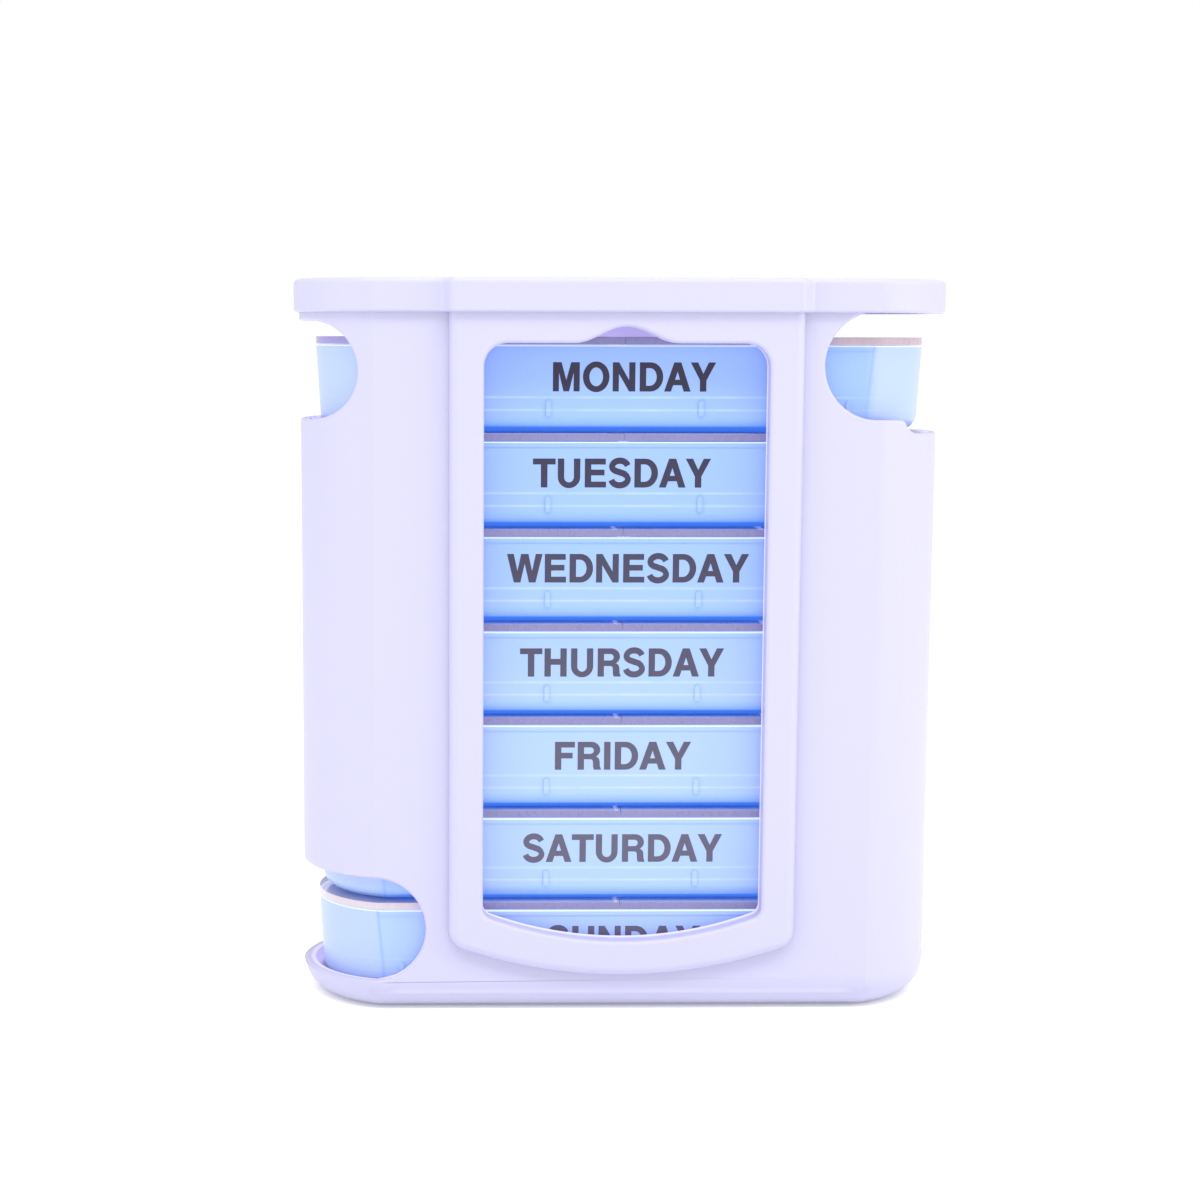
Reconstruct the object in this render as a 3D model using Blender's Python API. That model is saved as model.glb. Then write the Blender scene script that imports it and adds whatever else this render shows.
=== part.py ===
"""Weekly pill organizer: a tower case with a hinged lid that holds seven day trays.

Each day tray has four wells, and each well has its own clear lid on a snap hinge at the back.
The trays stand on each other inside the case. X runs along the trays, -Y is the front with the
window, and +Z is up. The origin is on the resting face, at the middle of the whole object.
"""
import math

import bmesh
import bpy
import mathutils

DAYS = ("monday", "tuesday", "wednesday", "thursday", "friday", "saturday", "sunday")
WELLS_PER_TRAY = 4

# Day tray
TRAY_LENGTH = 0.1224
TRAY_DEPTH = 0.034
TRAY_HEIGHT = 0.0169
TRAY_END_REACH_SHARE = 0.36764706
TRAY_END_DRAFT = 0.0008
TRAY_FACE_DRAFT = 0.0004
TRAY_FOOT_RADIUS = 0.0031
TRAY_WALL = 0.0015
TRAY_FLOOR = 0.0014
DIVIDER_THICKNESS = 0.0014
WELL_CORNER_RADIUS = 0.0016

# Well lid and its snap hinge
WELL_LID_THICKNESS = 0.0013
RUNNING_GAP = 0.0003
LID_SIDE_GAP = 0.0002
HINGE_SETBACK = 0.0012
TRUNNION_RADIUS = 0.00035
TRUNNION_CLEARANCE = 0.00025
EAR_WIDTH = 0.0016
EAR_SIDE_WALL = 0.00035
EAR_SINK = 0.0006
EAR_TOP_DROP = 0.0001
TRUNNION_END_GAP = 0.0004
TRUNNION_SINK = 0.0016

# Case
CASE_CLEARANCE = 0.0009
CASE_WALL = 0.0023
CASE_FLOOR = 0.003
CASE_BOTTOM_RADIUS = 0.0072
CAVITY_FLOOR_RADIUS = 0.0034
TRAY_HEADROOM = 0.0048

# Raised frame on the front of the case, and the window in it
FRAME_WIDTH = 0.0689
FRAME_RISE = 0.00243
FRAME_EDGE_RADIUS = 0.0019
FRAME_BOTTOM = 0.0081
FRAME_BOTTOM_ARC_RADIUS = 0.098
FRAME_CORNER_RADIUS = 0.004
WINDOW_WIDTH = 0.0553
WINDOW_BOTTOM = 0.0152
WINDOW_BOTTOM_ARC_RADIUS = 0.076
WINDOW_BOTTOM_CORNER_RADIUS = 0.0022
WINDOW_TOP_DROP = 0.00565
WINDOW_TOP_CORNER_RADIUS = 0.0045
WINDOW_EDGE_RADIUS = 0.0008
THUMB_NOTCH_WIDTH = 0.0206
THUMB_NOTCH_HEIGHT = 0.0032

# Openings in the end walls, cut from front to back
GRIP_NOTCH_RADIUS = 0.0097
GRIP_NOTCH_CENTRE_DROP = 0.0111
GRIP_NOTCH_REACH = 0.01225
EXIT_RADIUS = 0.01055
EXIT_CENTRE_DROP = 0.0038
EXIT_REACH = 0.02575
LOW_NOTCH_RADIUS = 0.0105
LOW_NOTCH_CENTRE_RISE = 0.0137
LOW_NOTCH_REACH = 0.0254

# Case lid and its hinge at the left end
LID_HEIGHT = 0.0066
LID_OVERHANG = 0.00125
LID_PLATE = 0.0016
LID_TOP_EDGE = 0.0011
LID_LOW_EDGE = 0.0006
LID_STEP_OVERHANG = 0.0004
LID_STEP_RUN = 0.003
LID_SEAT_GAP = 0.0003
LID_PIVOT_RISE = 0.002
LID_PIVOT_INSET = 0.0004
PIN_RADIUS = 0.0005
PIN_CLEARANCE = 0.0002
PIN_LENGTH = 0.009
PIN_SLEEVE_END = 0.0003
KNUCKLE_RADIUS = 0.001
KNUCKLE_WIDTH = 0.004
KNUCKLE_SIDE_GAP = 0.0003
KNUCKLE_ROOM = 0.0003
KNUCKLE_FOOT_GAP = 0.0003
SWING_ROOM = 0.0002

# How far a cutter runs past what it cuts, and how finely round shapes are stepped
OVERRUN = 0.004
END_STEPS = 14
SMALL_CORNER_STEPS = 4
FOOT_STEPS = 3
FILLET_STEPS = 4
WELL_CORNER_STEPS = 2
END_WELL_STEPS = 10
ARC_STEPS = 8
NOTCH_STEPS = 12
BUMP_STEPS = 12
LID_STEP_STEPS = 5
ROD_SIDES = 8
LID_EDGE_STEPS = 3
PIN_SIDES = 16

# Worked out from the sizes above
TRAY_END_REACH = TRAY_DEPTH * TRAY_END_REACH_SHARE
TRAY_END_RADIUS = (TRAY_END_REACH ** 2 + (TRAY_DEPTH / 2) ** 2) / (2 * TRAY_END_REACH)
TRAY_END_CENTRE = TRAY_LENGTH / 2 - TRAY_END_RADIUS
WELL_PITCH = (TRAY_LENGTH - 2 * TRAY_WALL + DIVIDER_THICKNESS) / WELLS_PER_TRAY
LID_BODY_RISE = RUNNING_GAP + WELL_LID_THICKNESS
TRAY_PITCH = TRAY_HEIGHT + LID_BODY_RISE + RUNNING_GAP
STACK_FOOT = CASE_FLOOR + RUNNING_GAP
STACK_Y = FRAME_RISE / 2
TOP_RIM = STACK_FOOT + TRAY_PITCH * (len(DAYS) - 1) + TRAY_HEIGHT
LID_BOTTOM = TOP_RIM + LID_BODY_RISE + TRAY_HEADROOM
LID_TOP = LID_BOTTOM + LID_HEIGHT
CASE_TOP = LID_BOTTOM - LID_SEAT_GAP
CASE_OUTSET = CASE_CLEARANCE + CASE_WALL
CASE_END = TRAY_LENGTH / 2 + CASE_OUTSET
CASE_FRONT = STACK_Y - TRAY_DEPTH / 2 - CASE_OUTSET
FRAME_FRONT = CASE_FRONT - FRAME_RISE
HINGE_Y = TRAY_DEPTH / 2 - HINGE_SETBACK
HINGE_RISE = RUNNING_GAP + WELL_LID_THICKNESS / 2
EAR_SLOT_RADIUS = TRUNNION_RADIUS + TRUNNION_CLEARANCE
PIVOT_X = LID_PIVOT_INSET - CASE_END
PIVOT_Z = LID_BOTTOM + LID_PIVOT_RISE
WINDOW_TOP = CASE_TOP - WINDOW_TOP_DROP
GRIP_NOTCH_CENTRE_Z = CASE_TOP - GRIP_NOTCH_CENTRE_DROP
GRIP_NOTCH_TOP = GRIP_NOTCH_CENTRE_Z + GRIP_NOTCH_RADIUS
EXIT_CENTRE_Z = TOP_RIM - EXIT_CENTRE_DROP
LOW_NOTCH_CENTRE_Z = STACK_FOOT + LOW_NOTCH_CENTRE_RISE


def clear_scene():
    for obj in list(bpy.data.objects):
        bpy.data.objects.remove(obj, do_unlink=True)


def arc(centre, radius, start, end, steps):
    """Points on an arc, from one angle to another in degrees, both ends included."""
    points = []
    for step in range(steps + 1):
        angle = math.radians(start + (end - start) * step / steps)
        points.append((centre[0] + radius * math.cos(angle), centre[1] + radius * math.sin(angle)))
    return points


def rounded_outline(length, depth, radius, steps):
    """A rectangle with round corners about the origin, anticlockwise from above."""
    reach_x = length / 2 - radius
    reach_y = depth / 2 - radius
    points = arc((reach_x, -reach_y), radius, -90, 0, steps)
    points += arc((reach_x, reach_y), radius, 0, 90, steps)
    points += arc((-reach_x, reach_y), radius, 90, 180, steps)
    points += arc((-reach_x, -reach_y), radius, 180, 270, steps)
    return points


def end_turn(half, radius):
    """Half the angle of a round end, from the middle to the crease where it meets a flat face."""
    return math.degrees(math.asin(half / radius))


def tray_outline(end_outset, face_outset):
    """The tray's plan, with its round ends and its flat faces moved out or in."""
    radius = TRAY_END_RADIUS + end_outset
    turn = end_turn(TRAY_DEPTH / 2 + face_outset, radius)
    points = arc((TRAY_END_CENTRE, 0), radius, -turn, turn, END_STEPS)
    points += arc((-TRAY_END_CENTRE, 0), radius, 180 - turn, 180 + turn, END_STEPS)
    return points


def case_outline(outset):
    """The tray's plan, grown evenly, as the case and its lid have it."""
    return tray_outline(outset, outset)


def level(points, z, shift_y=0.0):
    """A plan outline as a ring at one height."""
    return [(x, y + shift_y, z) for x, y in points]


def upright(points, y):
    """An outline drawn in X and Z as a ring at one depth."""
    return [(x, y, z) for x, z in points]


def loft(rings):
    """One closed mesh through rings of equal point counts, capped at both ends."""
    bm = bmesh.new()
    rows = [[bm.verts.new(point) for point in ring] for ring in rings]
    count = len(rows[0])
    for low, high in zip(rows, rows[1:]):
        for i in range(count):
            j = (i + 1) % count
            bm.faces.new((low[i], low[j], high[j], high[i]))
    bm.faces.new(list(reversed(rows[0])))
    bm.faces.new(rows[-1])
    bmesh.ops.recalc_face_normals(bm, faces=bm.faces)
    return bm


def merge(parts):
    """Several closed bodies in one mesh, used for cutters and sets of like additions."""
    whole = bmesh.new()
    for part in parts:
        mesh = bpy.data.meshes.new("piece")
        part.to_mesh(mesh)
        part.free()
        whole.from_mesh(mesh)
        bpy.data.meshes.remove(mesh)
    return whole


def add_object(name, bm, material=None):
    mesh = bpy.data.meshes.new(name)
    bm.to_mesh(mesh)
    bm.free()
    obj = bpy.data.objects.new(name, mesh)
    bpy.context.scene.collection.objects.link(obj)
    if material:
        mesh.materials.append(material)
    return obj


def helper(name, bm):
    """A tool body that only cuts or adds to another object."""
    obj = add_object(name, bm)
    obj.hide_render = True
    obj.display_type = "WIRE"
    return obj


def combine(obj, tool, operation):
    modifier = obj.modifiers.new(tool.name, "BOOLEAN")
    modifier.operation = operation
    modifier.solver = "EXACT"
    modifier.object = tool


def settle(obj):
    """Replace the object's mesh by its evaluated one, so that copies can share it."""
    graph = bpy.context.evaluated_depsgraph_get()
    mesh = bpy.data.meshes.new_from_object(obj.evaluated_get(graph))
    obj.modifiers.clear()
    obj.data = mesh
    smooth(mesh)


def smooth(mesh):
    mesh.shade_smooth()
    mesh.set_sharp_from_angle(angle=math.radians(30))


def plastic(name, colour, roughness, alpha=1.0):
    material = bpy.data.materials.new(name)
    material.use_nodes = True
    shader = material.node_tree.nodes["Principled BSDF"]
    shader.inputs["Base Color"].default_value = (*colour, 1.0)
    shader.inputs["Roughness"].default_value = roughness
    shader.inputs["Metallic"].default_value = 0.0
    shader.inputs["Alpha"].default_value = alpha
    return material


def steel(name):
    material = plastic(name, (0.62, 0.62, 0.64), 0.3)
    material.node_tree.nodes["Principled BSDF"].inputs["Metallic"].default_value = 1.0
    return material


def box(x0, x1, y0, y1, z0, z1):
    return loft([level(((x0, y0), (x1, y0), (x1, y1), (x0, y1)), z) for z in (z0, z1)])


def rod_x(x0, x1, y, z, radius, sides):
    """A round rod along X."""
    ring = arc((y, z), radius, 0, 360 - 360 / sides, sides - 1)
    return loft([[(x, p, q) for p, q in ring] for x in (x0, x1)])


def rod_y(x, z, y0, y1, radius, sides):
    """A round rod along Y."""
    ring = arc((x, z), radius, 0, 360 - 360 / sides, sides - 1)
    return loft([upright(ring, y) for y in (y0, y1)])


def fillet_steps(radius, steps):
    """How far in and how high each ring of a rounded foot lies, from the bottom up."""
    for step in range(steps + 1):
        angle = math.radians(90 * step / steps)
        yield radius * (1 - math.sin(angle)), radius * (1 - math.cos(angle))


def well_centre(index):
    return WELL_PITCH * (index - (WELLS_PER_TRAY - 1) / 2)


def tray_shell():
    """The outside of a tray: a rounded foot, then walls that lean out to the rim."""
    rings = []
    for inset, rise in fillet_steps(TRAY_FOOT_RADIUS, FOOT_STEPS):
        rings.append(level(tray_outline(-inset - TRAY_END_DRAFT, -inset - TRAY_FACE_DRAFT), rise))
    rings.append(level(tray_outline(0, 0), TRAY_HEIGHT))
    return loft(rings)


def well_outline(index):
    """The plan of one well. An end well follows the round end of the tray."""
    half = (WELL_PITCH - DIVIDER_THICKNESS) / 2
    side = TRAY_DEPTH / 2 - TRAY_WALL
    small = WELL_CORNER_RADIUS
    centre = well_centre(index)
    if 0 < index < WELLS_PER_TRAY - 1:
        plain = rounded_outline(2 * half, 2 * side, small, WELL_CORNER_STEPS)
        return [(x + centre, y) for x, y in plain]
    large = TRAY_END_RADIUS - TRAY_WALL
    turn = end_turn(side, large)
    points = arc((half - large, 0), large, -turn, turn, END_WELL_STEPS)
    points += arc((-half + small, side - small), small, 90, 180, WELL_CORNER_STEPS)
    points += arc((-half + small, -side + small), small, 180, 270, WELL_CORNER_STEPS)
    if index:
        return [(x + centre, y) for x, y in points]
    return [(centre - x, y) for x, y in reversed(points)]


def wells():
    parts = []
    for index in range(WELLS_PER_TRAY):
        outline = well_outline(index)
        parts.append(loft([level(outline, TRAY_FLOOR), level(outline, TRAY_HEIGHT + OVERRUN)]))
    return merge(parts)


def ear_places():
    """X of each hinge ear: at the dividers, and just inside the crease at each end."""
    outer = TRAY_LENGTH / 2 - TRAY_END_REACH - EAR_WIDTH / 2
    inner = [well_centre(i) + WELL_PITCH / 2 for i in range(WELLS_PER_TRAY - 1)]
    return [-outer, *inner, outer]


def ears():
    """Small blocks on the rim, each with a round-bottomed slot that the trunnions snap into."""
    reach = EAR_SLOT_RADIUS + EAR_SIDE_WALL
    low = TRAY_HEIGHT - EAR_SINK
    high = TRAY_HEIGHT + LID_BODY_RISE - EAR_TOP_DROP
    axis_z = TRAY_HEIGHT + HINGE_RISE
    slot = arc((HINGE_Y, axis_z), EAR_SLOT_RADIUS, 180, 360, ROD_SIDES // 2)
    profile = [(HINGE_Y - reach, high), (HINGE_Y - reach, low)]
    profile += [(HINGE_Y + reach, low), (HINGE_Y + reach, high)]
    profile += [(HINGE_Y + EAR_SLOT_RADIUS, high), *reversed(slot), (HINGE_Y - EAR_SLOT_RADIUS, high)]
    parts = []
    for x in ear_places():
        rings = [[(x + side * EAR_WIDTH / 2, y, z) for y, z in profile] for side in (-1, 1)]
        parts.append(loft(rings))
    return merge(parts)


def make_tray_mesh(material):
    tray = add_object("tray_pattern", tray_shell(), material)
    combine(tray, helper("cut_wells", wells()), "DIFFERENCE")
    combine(tray, helper("add_ears", ears()), "UNION")
    settle(tray)
    mesh = tray.data
    bpy.data.objects.remove(tray)
    return mesh


def lid_plate_outline(is_end, edge):
    """Plan of a well lid about its hinge axis. The edge is how far its back passes the axis."""
    half = (WELL_PITCH - LID_SIDE_GAP) / 2
    front = -HINGE_Y - TRAY_DEPTH / 2
    notch = (EAR_WIDTH - LID_SIDE_GAP) / 2 + RUNNING_GAP
    ear_front = -(EAR_SLOT_RADIUS + EAR_SIDE_WALL + RUNNING_GAP)
    left = [(-half + notch, edge), (-half + notch, ear_front), (-half, ear_front), (-half, front)]
    if not is_end:
        return [(half, front), (half, ear_front), (half - notch, ear_front), (half - notch, edge), *left]
    centre = (TRAY_END_CENTRE - well_centre(WELLS_PER_TRAY - 1), -HINGE_Y)
    ear_in, ear_out = end_ear_span(RUNNING_GAP)
    first = end_turn(TRAY_DEPTH / 2, TRAY_END_RADIUS)
    last = end_turn(HINGE_Y + edge, TRAY_END_RADIUS)
    points = arc(centre, TRAY_END_RADIUS, -first, last, END_WELL_STEPS)
    return [*points, (ear_out, edge), (ear_out, ear_front), (ear_in, ear_front), (ear_in, edge), *left]


def end_ear_span(room):
    """Where the outermost ear begins and ends, seen from the end well's centre, with room at its sides."""
    centre = ear_places()[-1] - well_centre(WELLS_PER_TRAY - 1)
    return centre - EAR_WIDTH / 2 - room, centre + EAR_WIDTH / 2 + room


def well_lid(is_end):
    """A flat lid whose back edge is rounded about the hinge axis."""
    rings = []
    for step in range(LID_EDGE_STEPS + 1):
        angle = math.radians(180 * step / LID_EDGE_STEPS - 90)
        edge = WELL_LID_THICKNESS / 2 * math.cos(angle)
        rings.append(level(lid_plate_outline(is_end, edge), WELL_LID_THICKNESS / 2 * math.sin(angle)))
    return rings


def trunnion_spans(is_end):
    """Where the two hinge rods of a lid begin and end: one end in the lid, one in an ear."""
    inner = -WELL_PITCH / 2 + TRUNNION_END_GAP / 2
    seat = -WELL_PITCH / 2 + EAR_WIDTH / 2 + RUNNING_GAP + TRUNNION_SINK
    if not is_end:
        return (inner, seat), (-seat, -inner)
    ear_in, ear_out = end_ear_span(0)
    return (inner, seat), (ear_in - RUNNING_GAP - TRUNNION_SINK, ear_out - TRUNNION_END_GAP / 2)


def make_lid_mesh(name, is_end, flip, material):
    """The mesh of one kind of lid. The left end's lid is the right end's, mirrored."""
    side = -1 if flip else 1
    rings = [[(side * x, y, z) for x, y, z in ring] for ring in well_lid(is_end)]
    spans = [sorted((side * x0, side * x1)) for x0, x1 in trunnion_spans(is_end)]
    rods = merge([rod_x(x0, x1, 0, 0, TRUNNION_RADIUS, ROD_SIDES) for x0, x1 in spans])
    lid = add_object(name, loft(rings), material)
    combine(lid, helper(name + "_trunnions", rods), "UNION")
    settle(lid)
    mesh = lid.data
    bpy.data.objects.remove(lid)
    return mesh


def add_copy(name, mesh, place, parent=None):
    obj = bpy.data.objects.new(name, mesh)
    bpy.context.scene.collection.objects.link(obj)
    obj.location = place
    obj.parent = parent
    return obj


def make_trays():
    """Seven trays on each other, top day first, each with its lids on their hinge axes."""
    tray_mesh = make_tray_mesh(plastic("tray_blue", (0.44, 0.66, 0.95), 0.3))
    clear = plastic("lid_clear", (0.80, 0.76, 0.88), 0.12, 0.45)
    left = make_lid_mesh("left_end_lid", True, True, clear)
    middle = make_lid_mesh("middle_lid", False, False, clear)
    right = make_lid_mesh("right_end_lid", True, False, clear)
    lids = [left, *[middle] * (WELLS_PER_TRAY - 2), right]
    for order, day in enumerate(reversed(DAYS)):
        tray = add_copy("tray_" + day, tray_mesh, (0, STACK_Y, STACK_FOOT + TRAY_PITCH * order))
        for index, lid_mesh in enumerate(lids):
            place = (well_centre(index), HINGE_Y, TRAY_HEIGHT + HINGE_RISE)
            add_copy(f"lid_{day}_{index + 1}", lid_mesh, place, tray)


def case_body_rings():
    rings = []
    for inset, rise in fillet_steps(CASE_BOTTOM_RADIUS, FILLET_STEPS):
        rings.append(level(case_outline(CASE_OUTSET - inset), rise, STACK_Y))
    rings.append(level(case_outline(CASE_OUTSET), CASE_TOP + OVERRUN, STACK_Y))
    return rings


def cavity_rings():
    rings = []
    for inset, rise in fillet_steps(CAVITY_FLOOR_RADIUS, FOOT_STEPS):
        rings.append(level(case_outline(CASE_CLEARANCE - inset), CASE_FLOOR + rise, STACK_Y))
    rings.append(level(case_outline(CASE_CLEARANCE), CASE_TOP + 2 * OVERRUN, STACK_Y))
    return rings


def bowed_bottom(half, bottom, arc_radius, corner_radius, inset):
    """Lower part of an outline in X and Z: straight sides, round corners and a bowed bottom edge."""
    centre_z = bottom + arc_radius
    corner_x = half - corner_radius
    drop = math.sqrt((arc_radius - corner_radius) ** 2 - corner_x ** 2)
    corner_z = centre_z - drop
    lean = math.degrees(math.asin(corner_x / (arc_radius - corner_radius)))
    radius = corner_radius - inset
    points = arc((-corner_x, corner_z), radius, 180, 270 - lean, SMALL_CORNER_STEPS)
    points += arc((0, centre_z), arc_radius - inset, 270 - lean, 270 + lean, ARC_STEPS)[1:-1]
    points += arc((corner_x, corner_z), radius, 270 + lean, 360, SMALL_CORNER_STEPS)
    return points


def frame_outline(inset):
    half = FRAME_WIDTH / 2
    points = bowed_bottom(half, FRAME_BOTTOM, FRAME_BOTTOM_ARC_RADIUS, FRAME_CORNER_RADIUS, inset)
    top = CASE_TOP + OVERRUN
    return [*points, (half - inset, top), (-half + inset, top)]


def window_outline(outset):
    half = WINDOW_WIDTH / 2
    corner = WINDOW_BOTTOM_CORNER_RADIUS
    points = bowed_bottom(half, WINDOW_BOTTOM, WINDOW_BOTTOM_ARC_RADIUS, corner, -outset)
    round_x = half - WINDOW_TOP_CORNER_RADIUS
    round_z = WINDOW_TOP - WINDOW_TOP_CORNER_RADIUS
    radius = WINDOW_TOP_CORNER_RADIUS + outset
    points += arc((round_x, round_z), radius, 0, 90, SMALL_CORNER_STEPS)
    for step in range(BUMP_STEPS + 1):
        share = 1 - 2 * step / BUMP_STEPS
        bump = THUMB_NOTCH_HEIGHT * (1 + math.cos(math.pi * share)) / 2
        points.append((THUMB_NOTCH_WIDTH / 2 * share, WINDOW_TOP + outset + bump))
    points += arc((-round_x, round_z), radius, 90, 180, SMALL_CORNER_STEPS)
    return points


def raised_frame():
    """The frame round the window, with its front edge rounded."""
    rings = [upright(frame_outline(0), CASE_FRONT + CASE_WALL / 2)]
    for step in range(FOOT_STEPS + 1):
        angle = math.radians(90 * step / FOOT_STEPS)
        y = FRAME_FRONT + FRAME_EDGE_RADIUS * (1 - math.sin(angle))
        rings.append(upright(frame_outline(FRAME_EDGE_RADIUS * (1 - math.cos(angle))), y))
    return loft(rings)


def window_cut():
    """The window through the frame and the wall, with its front edge rounded."""
    rings = [upright(window_outline(WINDOW_EDGE_RADIUS), FRAME_FRONT - OVERRUN)]
    for step in range(FOOT_STEPS):
        angle = math.radians(90 * step / (FOOT_STEPS - 1))
        y = FRAME_FRONT + WINDOW_EDGE_RADIUS * (1 - math.cos(angle))
        rings.append(upright(window_outline(WINDOW_EDGE_RADIUS * (1 - math.sin(angle))), y))
    rings.append(upright(window_outline(0), STACK_Y - TRAY_DEPTH / 2))
    return loft(rings)


def through_case(outline):
    """An outline in X and Z as a cutter from in front of the case to behind it."""
    reach = TRAY_DEPTH + OVERRUN
    return loft([upright(outline, -reach), upright(outline, reach)])


def end_notch(centre_z, radius, reach):
    """A notch with a round inner end, run out level through the left end."""
    centre_x = -CASE_END + reach - radius
    past = -CASE_END - OVERRUN
    points = arc((centre_x, centre_z), radius, -90, 90, NOTCH_STEPS)
    return through_case([*points, (past, centre_z + radius), (past, centre_z - radius)])


def exit_notch():
    """The notch at the top right, open up to the case lid, that the first tray leaves through."""
    centre_x = CASE_END - EXIT_REACH + EXIT_RADIUS
    past = CASE_END + OVERRUN
    above = CASE_TOP + 2 * OVERRUN
    points = arc((centre_x, EXIT_CENTRE_Z), EXIT_RADIUS, 90, 270, NOTCH_STEPS)
    return through_case([*points, (past, points[-1][1]), (past, above), (centre_x, above)])


def exit_channel():
    """The first tray's own profile, cut through the end wall so that the tray slides straight out."""
    foot = TOP_RIM - TRAY_HEIGHT - RUNNING_GAP
    half = TRAY_DEPTH / 2 + RUNNING_GAP
    foot_steps = fillet_steps(TRAY_FOOT_RADIUS, FOOT_STEPS)
    side = [(half - inset, foot + rise) for inset, rise in foot_steps]
    side.append((half, CASE_TOP + 2 * OVERRUN))
    outline = [*side, *[(-y, z) for y, z in reversed(side)]]
    ends = (TRAY_END_CENTRE, CASE_END + OVERRUN)
    return loft([[(x, STACK_Y + y, z) for y, z in outline] for x in ends])


def ramp_points(x0, z0, x1, z1):
    """A smooth change from one height to another."""
    points = []
    for step in range(LID_STEP_STEPS + 1):
        share = step / LID_STEP_STEPS
        ease = (1 - math.cos(math.pi * share)) / 2
        points.append((x0 + (x1 - x0) * share, z0 + (z1 - z0) * ease))
    return points


def rim_trims():
    """The cut that levels the case's rim, and a lower one at the left where the lid's edge swings."""
    far = TRAY_LENGTH
    high = CASE_TOP + 3 * OVERRUN
    over = LID_OVERHANG + LID_PIVOT_INSET
    low_corner = math.hypot(over - LID_LOW_EDGE, LID_PIVOT_RISE)
    side_corner = math.hypot(over, LID_PIVOT_RISE - LID_LOW_EDGE)
    swing = max(low_corner, side_corner) + SWING_ROOM
    left = -CASE_END + CASE_WALL + SWING_ROOM
    level_rim = box(-far, far, -far, far, CASE_TOP, high)
    return level_rim, box(-far, left, -far, far, PIVOT_Z - swing, high)


def hinge_knuckle():
    """The lug on the left wall that carries the case lid's pin."""
    foot = GRIP_NOTCH_TOP + KNUCKLE_FOOT_GAP
    face = -CASE_END - PIVOT_X
    turn = math.degrees(math.asin(face / KNUCKLE_RADIUS))
    points = arc((PIVOT_X, PIVOT_Z), KNUCKLE_RADIUS, 0, 270 + turn, PIN_SIDES)
    outline = [*points, (-CASE_END, foot), (PIVOT_X + KNUCKLE_RADIUS, foot)]
    half = KNUCKLE_WIDTH / 2
    return loft([upright(outline, STACK_Y - half), upright(outline, STACK_Y + half)])


def pin_hole():
    """The hole for the hinge pin: blind towards the front, open at the back."""
    start = STACK_Y - PIN_LENGTH / 2 - PIN_SLEEVE_END
    return rod_y(PIVOT_X, PIVOT_Z, start, TRAY_DEPTH, PIN_RADIUS + PIN_CLEARANCE, PIN_SIDES)


def make_case(material):
    case = add_object("case_body", loft(case_body_rings()), material)
    level_rim, swing_trim = rim_trims()
    combine(case, helper("add_raised_frame", raised_frame()), "UNION")
    combine(case, helper("cut_cavity", loft(cavity_rings())), "DIFFERENCE")
    combine(case, helper("cut_window", window_cut()), "DIFFERENCE")
    grip = end_notch(GRIP_NOTCH_CENTRE_Z, GRIP_NOTCH_RADIUS, GRIP_NOTCH_REACH)
    low = end_notch(LOW_NOTCH_CENTRE_Z, LOW_NOTCH_RADIUS, LOW_NOTCH_REACH)
    combine(case, helper("cut_grip_notch", grip), "DIFFERENCE")
    combine(case, helper("cut_low_notch", low), "DIFFERENCE")
    combine(case, helper("cut_exit_notch", exit_notch()), "DIFFERENCE")
    combine(case, helper("cut_exit_channel", exit_channel()), "DIFFERENCE")
    combine(case, helper("cut_rim", level_rim), "DIFFERENCE")
    combine(case, helper("cut_swing_room", swing_trim), "DIFFERENCE")
    combine(case, helper("add_knuckle", hinge_knuckle()), "UNION")
    combine(case, helper("cut_knuckle_hole", pin_hole()), "DIFFERENCE")
    settle(case)


def lid_plan(inset):
    """The case lid's plan: the case's own with its overhang, and the step out over the raised frame."""
    outset = CASE_OUTSET + LID_OVERHANG - inset
    points = case_outline(outset)
    front = -TRAY_DEPTH / 2 - outset
    half = FRAME_WIDTH / 2 + LID_STEP_OVERHANG - inset
    run = LID_STEP_RUN / 2
    points += ramp_points(-half - run, front, -half + run, front - FRAME_RISE)
    points += ramp_points(half - run, front - FRAME_RISE, half + run, front)
    return points


def knuckle_recess():
    """Room in the lid's left edge for the case's knuckle, through the lid's whole swing."""
    half = KNUCKLE_WIDTH / 2 + KNUCKLE_SIDE_GAP
    reach = KNUCKLE_RADIUS + KNUCKLE_ROOM
    past = -CASE_END - LID_OVERHANG - OVERRUN
    return box(past, PIVOT_X + reach, STACK_Y - half, STACK_Y + half, LID_BOTTOM - OVERRUN, PIVOT_Z + reach)


def make_case_lid(material):
    """A shallow lid, hollow below, with its origin on the hinge axis."""
    rings = [level(lid_plan(LID_LOW_EDGE), LID_BOTTOM, STACK_Y)]
    rings.append(level(lid_plan(0), LID_BOTTOM + LID_LOW_EDGE, STACK_Y))
    for inset, drop in reversed(list(fillet_steps(LID_TOP_EDGE, FOOT_STEPS))):
        rings.append(level(lid_plan(inset), LID_TOP - drop, STACK_Y))
    lid = add_object("case_lid", loft(rings), material)
    hollow = case_outline(CASE_CLEARANCE)
    rings = [level(hollow, z, STACK_Y) for z in (LID_BOTTOM - OVERRUN, LID_TOP - LID_PLATE)]
    combine(lid, helper("cut_lid_hollow", loft(rings)), "DIFFERENCE")
    combine(lid, helper("cut_knuckle_recess", knuckle_recess()), "DIFFERENCE")
    combine(lid, helper("cut_lid_pin_hole", pin_hole()), "DIFFERENCE")
    settle(lid)
    move_origin(lid, (PIVOT_X, STACK_Y, PIVOT_Z))


def move_origin(obj, place):
    """Put an object's origin at a place, and leave its shape where it is."""
    for vertex in obj.data.vertices:
        vertex.co -= mathutils.Vector(place)
    obj.location = place


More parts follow.
